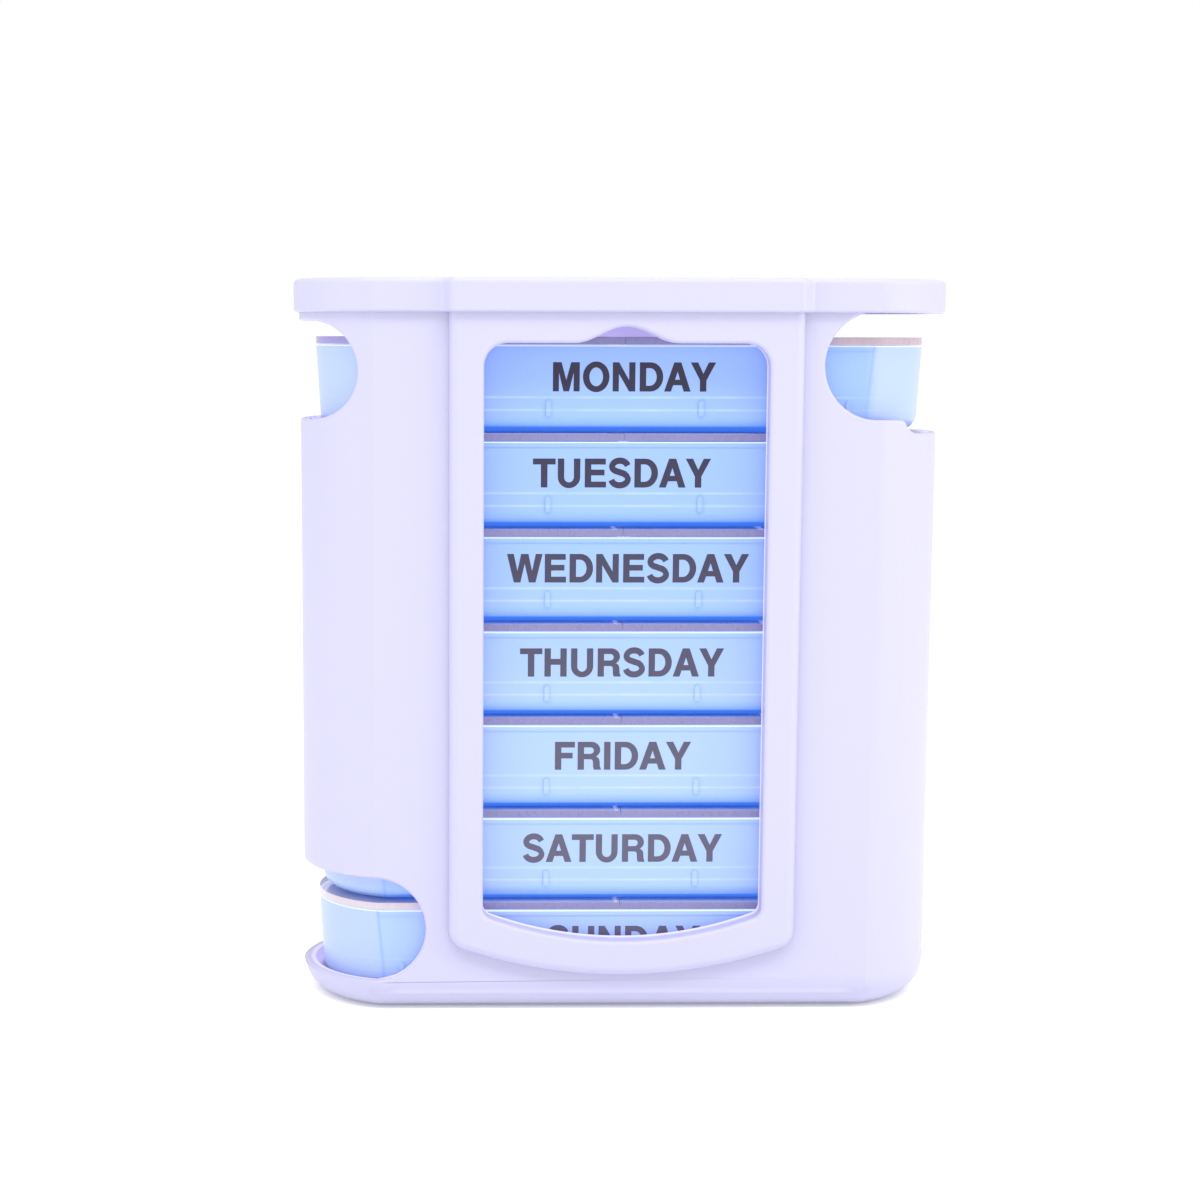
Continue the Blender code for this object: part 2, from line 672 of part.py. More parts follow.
def make_hinge_pin():
    half = PIN_LENGTH / 2
    rod = rod_y(0, 0, -half, half, PIN_RADIUS, PIN_SIDES)
    pin = add_object("case_lid_hinge_pin", rod, steel("pin_steel"))
    pin.location = (PIVOT_X, STACK_Y, PIVOT_Z)
    smooth(pin.data)


def main():
    clear_scene()
    white = plastic("case_white", (0.86, 0.86, 0.93), 0.35)
    make_case(white)
    make_case_lid(white)
    make_hinge_pin()
    make_trays()


main()
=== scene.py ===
"""Weekly pill organizer, finished around its fixed frame of solids.

A tower case with a window and three notches, its hinged lid, seven day trays with four wells
each, the clear lid of every well, and the day names printed on the trays. All sizes are metres.
"""
import math

import bmesh
import bpy
from mathutils import Matrix, Vector


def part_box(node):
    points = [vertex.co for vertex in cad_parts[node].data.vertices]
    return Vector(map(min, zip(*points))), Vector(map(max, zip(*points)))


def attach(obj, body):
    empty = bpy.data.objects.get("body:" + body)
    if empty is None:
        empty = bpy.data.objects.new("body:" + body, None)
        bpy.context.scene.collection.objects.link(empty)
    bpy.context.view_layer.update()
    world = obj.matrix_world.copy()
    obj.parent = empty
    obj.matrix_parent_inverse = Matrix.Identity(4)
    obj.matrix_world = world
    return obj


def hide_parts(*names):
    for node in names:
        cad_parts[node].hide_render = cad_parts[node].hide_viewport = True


bl_info = {
    "name": "Weekly Pill Organizer",
    "version": (1, 0, 0),
    "blender": (4, 5, 0),
    "location": "3D Viewport > Sidebar > Organizer",
    "description": "Builds a tower pill organizer with seven day trays around its solids",
    "category": "Object",
}

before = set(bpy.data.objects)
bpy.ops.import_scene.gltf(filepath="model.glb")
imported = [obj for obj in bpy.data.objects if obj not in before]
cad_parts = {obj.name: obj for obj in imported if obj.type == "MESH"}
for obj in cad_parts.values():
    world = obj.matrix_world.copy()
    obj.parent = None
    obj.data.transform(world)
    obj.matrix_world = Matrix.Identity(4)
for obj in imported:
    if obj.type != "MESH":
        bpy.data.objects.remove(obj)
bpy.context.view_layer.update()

DAYS = ("monday", "tuesday", "wednesday", "thursday", "friday", "saturday", "sunday")
WELLS_PER_TRAY = 4
X, Y, Z = 0, 1, 2

CASE_LOW, CASE_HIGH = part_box("case_body")
CASE_LID_LOW, CASE_LID_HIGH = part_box("case_lid")
TRAY_LOW, TRAY_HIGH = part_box("tray_monday")
NEXT_TRAY_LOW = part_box("tray_tuesday")[0]
WELL_LID_LOW, WELL_LID_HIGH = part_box("lid_monday_1")
PIN_LOW, PIN_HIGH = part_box("case_lid_hinge_pin")

TRAY_PITCH = TRAY_LOW.z - NEXT_TRAY_LOW.z
STACK_Y = (TRAY_LOW.y + TRAY_HIGH.y) / 2
PIN_PLACE = (PIN_LOW + PIN_HIGH) / 2

# How near counts as touching, how far a tool runs past what it cuts, and how near points are merged
TOUCH = 2e-6
OVERRUN = 0.004
CASE_MERGE = 0.00005
TRAY_MERGE = 0.00003

# Where to look for the creases between flat faces and round ends, and how far they turn, in radians
CREASE_X = (0.046, 0.051)
CREASE_FROM_MIDDLE = 0.015
CREASE_TURN = (0.2, 0.4)
CREASE_STEEPNESS = 5

# The rim and the notches lie farther out than the raised frame, and higher than the foot
NOTCHES_FROM_X = 0.036
NOTCHES_FROM_Z = 0.004


def body_of_day(day):
    """Only the first day's tray slides. The others stay with the case."""
    return "monday_tray" if day == DAYS[0] else "case"


# Sizes and colours that a user would change


def length(name, description, default):
    """A size in metres."""
    return bpy.props.FloatProperty(
        name=name, description=description, default=default, unit="LENGTH", precision=5
    )


def colour(name, description, default):
    return bpy.props.FloatVectorProperty(
        name=name, description=description, default=default, subtype="COLOR", size=3, min=0, max=1
    )


class CaseSizes(bpy.types.PropertyGroup):
    grow: length("Outside", "How far the case's outside stands out round the trays", 0.0032)
    room: length("Room", "Gap between the trays and the case's inside", 0.0009)
    floor: length("Floor", "Thickness of the case's floor", 0.003)
    foot: length("Foot", "Radius of the lower edge, outside", 0.0072)
    floor_fillet: length("Floor fillet", "Radius between floor and walls, inside", 0.0034)
    top: length("Top", "Height of the case's rim", 0.1391)
    hinge_top: length("Hinge rim", "Height of the rim beside the hinge, where the lid swings", 0.13894)
    frame_width: length("Frame width", "Width of the raised frame round the window", 0.0689)
    frame_rise: length("Frame rise", "How far the frame stands out from the front", 0.00243)
    frame_edge: length("Frame edge", "Radius of the frame's front edge", 0.0019)
    frame_bottom: length("Frame bottom", "Height of the frame's lowest point", 0.0081)
    frame_bow: length("Frame bow", "Radius of the frame's bowed lower edge", 0.098)
    frame_corner: length("Frame corner", "Radius of the frame's lower corners", 0.004)
    edge: length("Edge", "Radius of the edges of rim and notches", 0.0006)
    knuckle_radius: length("Knuckle radius", "Radius of the hinge lug", 0.001)
    knuckle_width: length("Knuckle width", "Length of the hinge lug along the pin", 0.004)


class WindowSizes(bpy.types.PropertyGroup):
    width: length("Width", "Width of the window", 0.0553)
    bottom: length("Bottom", "Height of the window's lowest point", 0.0152)
    bow: length("Bow", "Radius of the window's bowed lower edge", 0.076)
    bottom_corner: length("Lower corners", "Radius of the window's lower corners", 0.0022)
    top: length("Top", "Height of the window's top edge", 0.13345)
    top_corner: length("Upper corners", "Radius of the window's upper corners", 0.0045)
    edge: length("Edge", "Radius of the window's front edge", 0.0008)
    thumb_width: length("Thumb notch width", "Width of the notch above the window", 0.0206)
    thumb_height: length("Thumb notch height", "Height of the notch above the window", 0.0032)


class NotchSizes(bpy.types.PropertyGroup):
    grip_radius: length("Grip radius", "Radius of the small notch at the top left", 0.0097)
    grip_x: length("Grip centre", "How far left the grip notch has its centre", -0.06185)
    grip_z: length("Grip height", "Height of the grip notch's centre", 0.128)
    exit_radius: length("Exit radius", "Radius of the notch that the first tray leaves by", 0.01055)
    exit_x: length("Exit centre", "How far right the exit notch has its centre", 0.0492)
    exit_z: length("Exit height", "Height of the exit notch's centre", 0.1292)
    channel_gap: length("Channel gap", "Gap round the first tray where it slides out", 0.0003)
    low_radius: length("Low radius", "Radius of the notch at the lower left", 0.0105)
    low_x: length("Low centre", "How far left the low notch has its centre", -0.0495)
    low_z: length("Low height", "Height of the low notch's centre", 0.017)


class CaseLidSizes(bpy.types.PropertyGroup):
    grow: length("Outside", "How far the lid's outside stands out round the trays", 0.00445)
    plate: length("Plate", "Thickness of the lid's top", 0.0016)
    top_edge: length("Top edge", "Radius of the upper edge", 0.0011)
    low_edge: length("Lower edge", "Radius of the lower edge", 0.0006)
    step_half: length("Step", "Half the width of the part that steps out over the frame", 0.03485)
    step_run: length("Step run", "Length of the bend on each side of the step", 0.003)
    knuckle_room: length("Knuckle room", "Gap between the hinge lug and the lid", 0.0003)
    pin_hole: length("Pin hole", "Radius of the hole for the pin", 0.0007)


class TraySizes(bpy.types.PropertyGroup):
    height: length("Height", "Height of a tray's rim above its foot", 0.0169)
    end_reach: length("End reach", "How far the round ends reach past the flat faces", 0.0125)
    end_draft: length("End draft", "How far the round ends lean out to the rim", 0.0008)
    face_draft: length("Face draft", "How far the flat faces lean out to the rim", 0.0004)
    foot: length("Foot", "Radius of the lower edge", 0.0031)
    wall: length("Wall", "Thickness of the walls", 0.0015)
    floor: length("Floor", "Thickness of the floor", 0.0014)
    divider: length("Divider", "Thickness between two wells", 0.0014)
    well_corner: length("Well corner", "Radius of the inner corners of a well", 0.0016)
    well_fillet: length("Well fillet", "Radius between a well's floor and walls", 0.0012)
    rim_edge: length("Rim edge", "Radius of the rim's edges", 0.00022)
    band_half: length("Rim band width", "Half the width of the band below the rim", 0.0484)
    band_height: length("Rim band", "Height of the band below the rim", 0.001)
    band_proud: length("Rim band rise", "How far the band stands out", 0.00016)
    nub_width: length("Rib width", "Width of the four small ribs on the front", 0.001)
    nub_inner: length("Inner rib", "How far from the middle the inner ribs stand", 0.01495)
    nub_outer: length("Outer rib", "How far from the middle the outer ribs stand", 0.0439)
    nub_low: length("Rib foot", "Where a rib starts above the tray's foot", 0.0031)
    nub_high: length("Rib top", "Where a rib ends above the tray's foot", 0.00625)
    nub_proud: length("Rib rise", "How far a rib stands out", 0.0003)
    ear_width: length("Ear width", "Width of a hinge ear", 0.0016)
    ear_wall: length("Ear wall", "Thickness of an ear beside its slot", 0.00035)
    ear_slot: length("Ear slot", "Radius of an ear's slot", 0.0006)


class WellLidSizes(bpy.types.PropertyGroup):
    seam: length("Seam", "Gap between two lids", 0.00006)
    gap: length("Gap", "Gap between a lid and an ear", 0.0003)
    setback: length("Hinge setback", "How far the hinge stands in from the tray's back", 0.0012)
    lower: length("Lower face", "How far a lid's plate reaches down into the gap above the rim", 0.00015)
    rod: length("Rod", "Radius of a hinge rod", 0.00035)
    edge: length("Edge", "Radius of a lid's edges", 0.0001)


class NameSizes(bpy.types.PropertyGroup):
    cap_height: length("Letter height", "Height of the capitals", 0.00568)
    drop: length("Drop", "How far below the rim the letters start", 0.00326)
    depth: length("Depth", "Thickness of the print", 0.00005)


class Finishes(bpy.types.PropertyGroup):
    case: colour("Case", "Colour of the case and its lid", (0.446, 0.438, 0.605))
    case_warm: colour("Case, second tone", "Tone that the case's colour drifts to", (0.456, 0.446, 0.605))
    # Painted light: the glow given to the case's inside, in place of light that comes through its thin walls
    case_inside_painted_light: colour("Case, inside", "Light that comes through the case's thin walls", (0.62, 0.52, 0.93))
    tray: colour("Tray", "Colour of a tray's face", (0.225, 0.345, 0.72))
    # Painted light: the lower trays are painted paler than the upper ones, which are the same plastic
    lower_trays_painted_light: colour("Lower trays", "Colour of the lower trays' faces", (0.29, 0.40, 0.75))
    # Painted light: the round ends are painted paler, for the light that passes through them from behind
    tray_end_painted_light: colour("Tray end", "Colour of a tray's thin round ends", (0.33, 0.41, 0.62))
    # Painted shade and painted glow: the foot's lowest band is painted dark, with a deep blue glow for the
    # light that gathers in the thick plastic
    tray_foot_painted_shade: colour("Tray foot", "Colour of a tray's thick lower edge", (0.012, 0.06, 0.24))
    tray_foot_painted_glow: colour("Tray foot, glow", "Light that gathers in a tray's thick edge", (0.035, 0.175, 0.80))
    lid_face: colour("Well lid", "Colour of a well lid's clear face", (0.80, 0.77, 0.93))
    # Painted reflection: a lid edge's colours are those it refracts and reflects from what lies round it,
    # which change with its place
    lid_edge: colour("Well lid edge", "Colour of a well lid's edge", (0.14, 0.135, 0.27))
    lid_edge_right: colour("Right lid edge", "Colour of a well lid's edge at the right", (0.35, 0.27, 0.295))
    lid_edge_left: colour("Left lid edge", "Colour of a well lid's edge at the left", (0.21, 0.19, 0.41))
    lid_edge_low: colour("Last lid edge", "Colour of the last lid's edge at the left", (0.46, 0.40, 0.44))
    ink: colour("Print", "Colour of the day names, first day", (0.018, 0.014, 0.038))
    # Painted light: the same print is painted paler lower down the stack
    ink_lower_painted_light: colour("Print, last day", "Colour of the day names, last day", (0.09, 0.085, 0.13))
    pin: colour("Pin", "Colour of the hinge pin", (0.55, 0.55, 0.57))
    stage: colour("Stage", "Colour of the floor", (0.9, 0.9, 0.9))


# Modelling


def activate(obj):
    """Selects one piece alone."""
    bpy.ops.object.select_all(action="DESELECT")
    obj.select_set(True)
    bpy.context.view_layer.objects.active = obj


def adopt(name):
    """Names the primitive that was just added, with its place in its mesh."""
    obj = bpy.context.object
    obj.name = name
    obj.data.name = name
    bpy.ops.object.transform_apply(location=True, rotation=True, scale=True)
    return obj


def block(name, low, high):
    """A box from its lowest to its highest corner."""
    bpy.ops.object.select_all(action="DESELECT")
    low, high = Vector(low), Vector(high)
    bpy.ops.mesh.primitive_cube_add(size=1, location=(low + high) / 2, scale=high - low)
    return adopt(name)


def prism(name, outline, near, far, axis):
    """An outline, filled and extruded along an axis. Its points are in the other two axes."""
    bpy.ops.object.select_all(action="DESELECT")
    bpy.ops.mesh.primitive_circle_add(vertices=len(outline), fill_type="NGON")
    obj = adopt(name)
    for vertex, point in zip(obj.data.vertices, outline):
        place = list(point)
        place.insert(axis, near)
        vertex.co = place
    push = [0, 0, 0]
    push[axis] = far - near
    pick(obj, "FACE", anything)
    bpy.ops.mesh.extrude_region_move(TRANSFORM_OT_translate={"value": push})
    bpy.ops.mesh.select_all(action="SELECT")
    bpy.ops.mesh.normals_make_consistent(inside=False)
    bpy.ops.object.mode_set(mode="OBJECT")
    return obj


def corners(part):
    """The corners of a vertex, an edge or a face."""
    return (part,) if isinstance(part, bmesh.types.BMVert) else part.verts


def anything(_):
    return True


def at(axis, value):
    """A test for what lies in the plane at one value of an axis."""
    return lambda part: all(abs(corner.co[axis] - value) < TOUCH for corner in corners(part))


def both(*tests):
    return lambda part: all(test(part) for test in tests)


def either(*tests):
    return lambda part: any(test(part) for test in tests)


def sharp(degrees):
    """A test for edges whose two faces meet at more than an angle."""
    limit = math.radians(degrees)
    return lambda edge: len(edge.link_faces) == 2 and edge.calc_face_angle() > limit


def pick(obj, kind, wanted):
    """Opens a piece in edit mode with only the wanted vertices, edges or faces selected."""
    activate(obj)
    bpy.ops.object.mode_set(mode="EDIT")
    bpy.ops.mesh.select_mode(type=kind)
    bpy.ops.mesh.select_all(action="DESELECT")
    shape = bmesh.from_edit_mesh(obj.data)
    for part in {"VERT": shape.verts, "EDGE": shape.edges, "FACE": shape.faces}[kind]:
        if wanted(part):
            part.select_set(True)
    bmesh.update_edit_mesh(obj.data)


def round_edges(obj, wanted, radius, segments):
    """Rounds the wanted edges of a piece."""
    pick(obj, "EDGE", wanted)
    bpy.ops.mesh.bevel(offset=radius, segments=segments, affect="EDGES", clamp_overlap=False)
    bpy.ops.object.mode_set(mode="OBJECT")


def clean(obj, distance=TOUCH):
    """Merges doubles and points every face outwards."""
    pick(obj, "VERT", anything)
    bpy.ops.mesh.remove_doubles(threshold=distance)
    bpy.ops.mesh.normals_make_consistent(inside=False)
    bpy.ops.object.mode_set(mode="OBJECT")


def tub(name, outline, low, high, foot, steps=9):
    """A plan raised from one height to another, with a round lower edge."""
    obj = prism(name, outline, low, high, Z)
    round_edges(obj, at(Z, low), foot, steps)
    return obj


def end_radius(reach):
    """The radius of a tray's round ends, which reach past the flat faces."""
    half = TRAY_HIGH.y - STACK_Y
    return (reach**2 + half**2) / (2 * reach)


def round_plan(end_grow, face_grow, reach, steps=28):
    """Flat faces and round ends, as seen from above, with each moved out or in."""
    half = TRAY_HIGH.y - STACK_Y
    radius = end_radius(reach) + end_grow
    centre = TRAY_HIGH.x + end_grow - radius
    turn = math.degrees(math.asin((half + face_grow) / radius))
    points = arc((centre, STACK_Y), radius, -turn, turn, steps)
    return points + arc((-centre, STACK_Y), radius, 180 - turn, 180 + turn, steps)


def taper(obj, outline, axis):
    """Gives the far end of a prism an outline of its own, point for point."""
    count = len(outline)
    for edge in obj.data.edges:
        first, last = sorted(edge.vertices)
        if first < count <= last:
            place = list(outline[first])
            place.insert(axis, obj.data.vertices[last].co[axis])
            obj.data.vertices[last].co = place


def crease(edge):
    """The upright edges where a flat face meets a round end."""
    run = edge.verts[0].co - edge.verts[1].co
    if abs(run.z) <= CREASE_STEEPNESS * max(abs(run.x), abs(run.y)) or len(edge.link_faces) != 2:
        return False
    near, far = CREASE_X
    for vertex in edge.verts:
        if not near < abs(vertex.co.x) < far or abs(vertex.co.y - STACK_Y) <= CREASE_FROM_MIDDLE:
            return False
    return CREASE_TURN[0] < edge.calc_face_angle() < CREASE_TURN[1]


def mark_creases(obj):
    pick(obj, "EDGE", crease)
    bpy.ops.mesh.mark_sharp()
    bpy.ops.object.mode_set(mode="OBJECT")


def merged(tools):
    """Tools that don't meet each other, as one."""
    activate(tools[0])
    for tool in tools:
        tool.select_set(True)
    bpy.ops.object.join()
    return tools[0]


def combine(obj, operation, *tools):
    """Cuts tools out of a piece or joins them to it, and removes them."""
    tool = merged(tools)
    activate(obj)
    modifier = obj.modifiers.new(operation.title(), "BOOLEAN")
    modifier.operation = operation
    modifier.solver = "EXACT"
    modifier.object = tool
    bpy.ops.object.modifier_apply(modifier=modifier.name)
    bpy.data.objects.remove(tool, do_unlink=True)


def smooth(obj, degrees=32):
    """Smooth shading that keeps the flat faces flat."""
    activate(obj)
    bpy.ops.object.shade_smooth_by_angle(angle=math.radians(degrees))
    modifier = obj.modifiers.new("Weighted normals", "WEIGHTED_NORMAL")
    modifier.keep_sharp = True
    bpy.ops.object.modifier_apply(modifier=modifier.name)


def copy_of(obj, name, offset):
    """A copy with a mesh of its own, moved in its mesh."""
    twin = obj.copy()
    twin.data = obj.data.copy()
    twin.name = name
    twin.data.name = name
    twin.data.transform(Matrix.Translation(offset))
    bpy.context.scene.collection.objects.link(twin)
    return twin


def paint(obj, *materials):
    obj.data.materials.clear()
    for material in materials:
        obj.data.materials.append(material)


def arc(centre, radius, start, end, steps):
    """Points on an arc between two angles in degrees, both ends included."""
    angles = [math.radians(start + (end - start) * step / steps) for step in range(steps + 1)]
    return [(centre[0] + radius * math.cos(a), centre[1] + radius * math.sin(a)) for a in angles]


def ring(centre, radius, count):
    """Points all round a circle."""
    return arc(centre, radius, 0, 360 - 360 / count, count - 1)


def ease(x0, z0, x1, z1, steps):
    """A smooth change from one point to another, level at both."""
    points = []
    for step in range(steps + 1):
        part = step / steps
        points.append((x0 + (x1 - x0) * part, z0 + (z1 - z0) * (1 - math.cos(math.pi * part)) / 2))
    return points


def bowed(half, bottom, bow, corner):
    """The lower part of an outline: round corners and an edge that bows down between them."""
    reach = half - corner
    rise = bottom + bow - math.sqrt((bow - corner) ** 2 - reach**2)
    lean = math.degrees(math.asin(reach / (bow - corner)))
    points = arc((-reach, rise), corner, 180, 270 - lean, 8)
    points += arc((0, bottom + bow), bow, 270 - lean, 270 + lean, 24)[1:-1]
    return points + arc((reach, rise), corner, 270 + lean, 360, 8)


# The case


def frame_outline(case):
    """The raised frame from the front, run out past the case's rim."""
    half = case.frame_width / 2
    top = case.top + OVERRUN
    points = bowed(half, case.frame_bottom, case.frame_bow, case.frame_corner)
    return [*points, (half, top), (-half, top)]


def window_outline(window):
    """The window from the front: a bowed lower edge, and a soft notch for the thumb above."""
    half = window.width / 2
    points = bowed(half, window.bottom, window.bow, window.bottom_corner)
    reach = half - window.top_corner
    rise = window.top - window.top_corner
    points += arc((reach, rise), window.top_corner, 0, 90, 8)
    steps = 24
    for step in range(steps + 1):
        side = 1 - 2 * step / steps
        bump = window.thumb_height * (1 + math.cos(math.pi * side)) / 2
        points.append((window.thumb_width / 2 * side, window.top + bump))
    return points + arc((-reach, rise), window.top_corner, 90, 180, 8)


def end_notch(centre_x, centre_z, radius):
    """A notch with a round inner end, run out level past the left end."""
    past = -CASE_HIGH.x - OVERRUN
    points = arc((centre_x, centre_z), radius, -90, 90, 28)
    return [*points, (past, centre_z + radius), (past, centre_z - radius)]


def exit_notch(notch, top):
    """The notch at the top right, open above and past the end wall."""
    past = CASE_HIGH.x + OVERRUN
    points = arc((notch.exit_x, notch.exit_z), notch.exit_radius, 90, 270, 28)
    return [*points, (past, points[-1][1]), (past, top + 2 * OVERRUN), (notch.exit_x, top + 2 * OVERRUN)]


def exit_channel(notch, tray, top):
    """The first tray's own profile, cut through the end wall along X."""
    gap = notch.channel_gap
    half = TRAY_HIGH.y - STACK_Y + gap
    foot = TRAY_LOW.z - gap
    points = arc((STACK_Y + half - tray.foot, foot + tray.foot), tray.foot, -90, 0, 8)
    points += [(STACK_Y + half, top + 2 * OVERRUN), (STACK_Y - half, top + 2 * OVERRUN)]
    points += arc((STACK_Y - half + tray.foot, foot + tray.foot), tray.foot, 180, 270, 8)
    return prism("exit_channel", points, notch.exit_x, CASE_HIGH.x + 2 * OVERRUN, X)


def knuckle_outline(case, face):
    """The hinge lug: round about the pin, and run down into the end wall."""
    radius = case.knuckle_radius
    turn = math.degrees(math.asin((face - PIN_PLACE.x) / radius))
    foot = case.hinge_top - radius
    points = arc((PIN_PLACE.x, PIN_PLACE.z), radius, 0, 270 + turn, 24)
    return [*points, (face, foot), (PIN_PLACE.x + radius, foot)]


def pin_hole(radius):
    """The hole along the hinge pin, open at the back."""
    outline = ring((PIN_PLACE.x, PIN_PLACE.z), radius, 24)
    return prism("pin_hole", outline, PIN_LOW.y - OVERRUN / 10, CASE_HIGH.y, Y)


def build_case(case, window, notch, lid, tray):
    """The shell and its raised frame, with cavity, window, notches, channel and hinge lug."""
    end = CASE_HIGH.x
    front = CASE_LOW.y + case.frame_rise
    reach = tray.end_reach
    plan = round_plan(case.grow, case.grow, reach)
    shell = tub("case_shell", plan, 0, case.top + OVERRUN, case.foot, 12)
    wall = case.grow - case.room
    raised = prism("raised_frame", frame_outline(case), CASE_LOW.y, front + wall / 2, Y)
    round_edges(raised, at(Y, CASE_LOW.y), case.frame_edge, 10)
    combine(shell, "UNION", raised)
    inside = round_plan(case.room, case.room, reach)
    cavity = tub("cavity", inside, case.floor, case.top + 2 * OVERRUN, case.floor_fillet)
    combine(shell, "DIFFERENCE", cavity)
    opening = prism("window", window_outline(window), CASE_LOW.y - OVERRUN, STACK_Y, Y)
    combine(shell, "DIFFERENCE", opening)
    outlines = (
        end_notch(notch.grip_x, notch.grip_z, notch.grip_radius),
        end_notch(notch.low_x, notch.low_z, notch.low_radius),
        exit_notch(notch, case.top),
    )
    cuts = [prism("notch", outline, CASE_LOW.y - OVERRUN, CASE_HIGH.y + OVERRUN, Y) for outline in outlines]
    combine(shell, "DIFFERENCE", *cuts)
    combine(shell, "DIFFERENCE", exit_channel(notch, tray, case.top))
    far = 2 * end
    combine(shell, "DIFFERENCE", block("rim_trim", (-far, -far, case.top), (far, far, far)))
    left = -end + wall + case.edge / 3
    combine(shell, "DIFFERENCE", block("hinge_trim", (-far, -far, case.hinge_top), (left, far, far)))
    clean(shell, CASE_MERGE)
    round_edges(shell, both(at(Y, CASE_LOW.y), sharp(60)), window.edge, 8)
    round_edges(shell, both(sharp(50), notch_edge), case.edge, 4)
    half = case.knuckle_width / 2
    lug = prism("knuckle", knuckle_outline(case, -end), STACK_Y - half, STACK_Y + half, Y)
    combine(shell, "UNION", lug)
    combine(shell, "DIFFERENCE", pin_hole(lid.pin_hole))
    mark_creases(shell)
    smooth(shell)
    return shell


def notch_edge(edge):
    """The edges of rim and notches, outside the raised frame."""
    return all(abs(v.co.x) > NOTCHES_FROM_X and v.co.z > NOTCHES_FROM_Z for v in edge.verts)


def build_case_lid(case, lid, tray):
    """The hollow lid, stepped out over the frame, with room for the hinge lug and a pin hole."""
    half = lid.step_half
    run = lid.step_run / 2
    end = TRAY_HIGH.x + lid.grow
    stepped = CASE_LID_LOW.y
    plain = stepped + case.frame_rise
    plan = round_plan(lid.grow, lid.grow, tray.end_reach)
    plan += ease(-half - run, plain, -half + run, stepped, 10)
    plan += ease(half - run, stepped, half + run, plain, 10)
    cover = prism("case_cover", plan, CASE_LID_LOW.z, CASE_LID_HIGH.z, Z)
    round_edges(cover, at(Z, CASE_LID_HIGH.z), lid.top_edge, 7)
    round_edges(cover, at(Z, CASE_LID_LOW.z), lid.low_edge, 4)
    inside = round_plan(case.room, case.room, tray.end_reach)
    hollow = prism("lid_hollow", inside, CASE_LID_LOW.z - OVERRUN, CASE_LID_HIGH.z - lid.plate, Z)
    round_edges(hollow, at(Z, CASE_LID_HIGH.z - lid.plate), lid.top_edge / 2, 4)
    combine(cover, "DIFFERENCE", hollow)
    reach = case.knuckle_radius + lid.knuckle_room
    side = case.knuckle_width / 2 + lid.knuckle_room
    combine(cover, "DIFFERENCE", block(
        "knuckle_room",
        (-end - OVERRUN, STACK_Y - side, CASE_LID_LOW.z - OVERRUN),
        (PIN_PLACE.x + reach, STACK_Y + side, PIN_PLACE.z + reach),
    ))
    combine(cover, "DIFFERENCE", pin_hole(lid.pin_hole))
    clean(cover, CASE_MERGE)
    mark_creases(cover)
    smooth(cover)
    return cover


# The trays and what is on them


def well_centre(index, tray):
    """X of a well's middle, and half its width."""
    inside = TRAY_HIGH.x - TRAY_LOW.x - 2 * tray.wall + tray.divider
    pitch = inside / WELLS_PER_TRAY
    return pitch * (index - (WELLS_PER_TRAY - 1) / 2), (pitch - tray.divider) / 2


def well_outline(index, tray):
    """The plan of one well. An end well follows the round end of the tray."""
    centre, half = well_centre(index, tray)
    side = TRAY_HIGH.y - STACK_Y - tray.wall
    small = tray.well_corner
    inner = arc((-half + small, side - small), small, 90, 180, 5)
    inner += arc((-half + small, -side + small), small, 180, 270, 5)
    if index in (0, WELLS_PER_TRAY - 1):
        large = end_radius(tray.end_reach) - tray.wall
        turn = math.degrees(math.asin(side / large))
        outer = arc((half - large, 0), large, -turn, turn, 24)
    else:
        outer = arc((half - small, -side + small), small, -90, 0, 5)
        outer += arc((half - small, side - small), small, 0, 90, 5)
    flip = -1 if index == 0 else 1
    return [(centre + flip * x, STACK_Y + y) for x, y in [*outer, *inner]]


def well_tool(index, tray):
    low = TRAY_LOW.z + tray.floor
    return tub(f"well_{index}", well_outline(index, tray), low, TRAY_HIGH.z + OVERRUN, tray.well_fillet, 4)


def front_pad(name, outline, proud, tray):
    """A thin flat pad on a tray's leaning front. Its outline is in X and height above the foot."""
    points = [(x, TRAY_LOW.z + height) for x, height in outline]
    pad = prism(name, points, TRAY_LOW.y - proud, TRAY_LOW.y + tray.wall / 2, Y)
    lean = tray.face_draft / (tray.height - tray.foot)
    rim = TRAY_LOW.z + tray.height
    for vertex in pad.data.vertices:
        vertex.co.y += (rim - vertex.co.z) * lean
    return pad


def nub_outline(centre, tray):
    """A small upright rib with a round top."""
    half = tray.nub_width / 2
    top = arc((centre, tray.nub_high - half), half, 0, 180, 8)
    return [(centre - half, tray.nub_low), (centre + half, tray.nub_low), *top]


def ear_places(tray):
    """X of each hinge ear: at the dividers, and just inside the crease at each end."""
    outer = TRAY_HIGH.x - tray.end_reach - tray.ear_width / 2
    inner = [sum(well_centre(i, tray)) + tray.divider / 2 for i in range(WELLS_PER_TRAY - 1)]
    return [-outer, *inner, outer]


def ear_outline(tray, lids):
    """A hinge ear from the side, with a slot open above that the rods snap into."""
    hinge_y, hinge_z = hinge_place(lids)
    reach = tray.ear_slot + tray.ear_wall
    low = TRAY_LOW.z + tray.height - tray.ear_slot
    slot = arc((hinge_y, hinge_z), tray.ear_slot, 180, 360, 10)
    points = [(hinge_y - reach, TRAY_HIGH.z), (hinge_y - reach, low)]
    points += [(hinge_y + reach, low), (hinge_y + reach, TRAY_HIGH.z)]
    points += [(hinge_y + tray.ear_slot, TRAY_HIGH.z), *reversed(slot)]
    return [*points, (hinge_y - tray.ear_slot, TRAY_HIGH.z)]


def hinge_place(lids):
    """Y and Z of the first tray's hinge axis."""
    return TRAY_HIGH.y - lids.setback, (WELL_LID_LOW.z + WELL_LID_HIGH.z) / 2


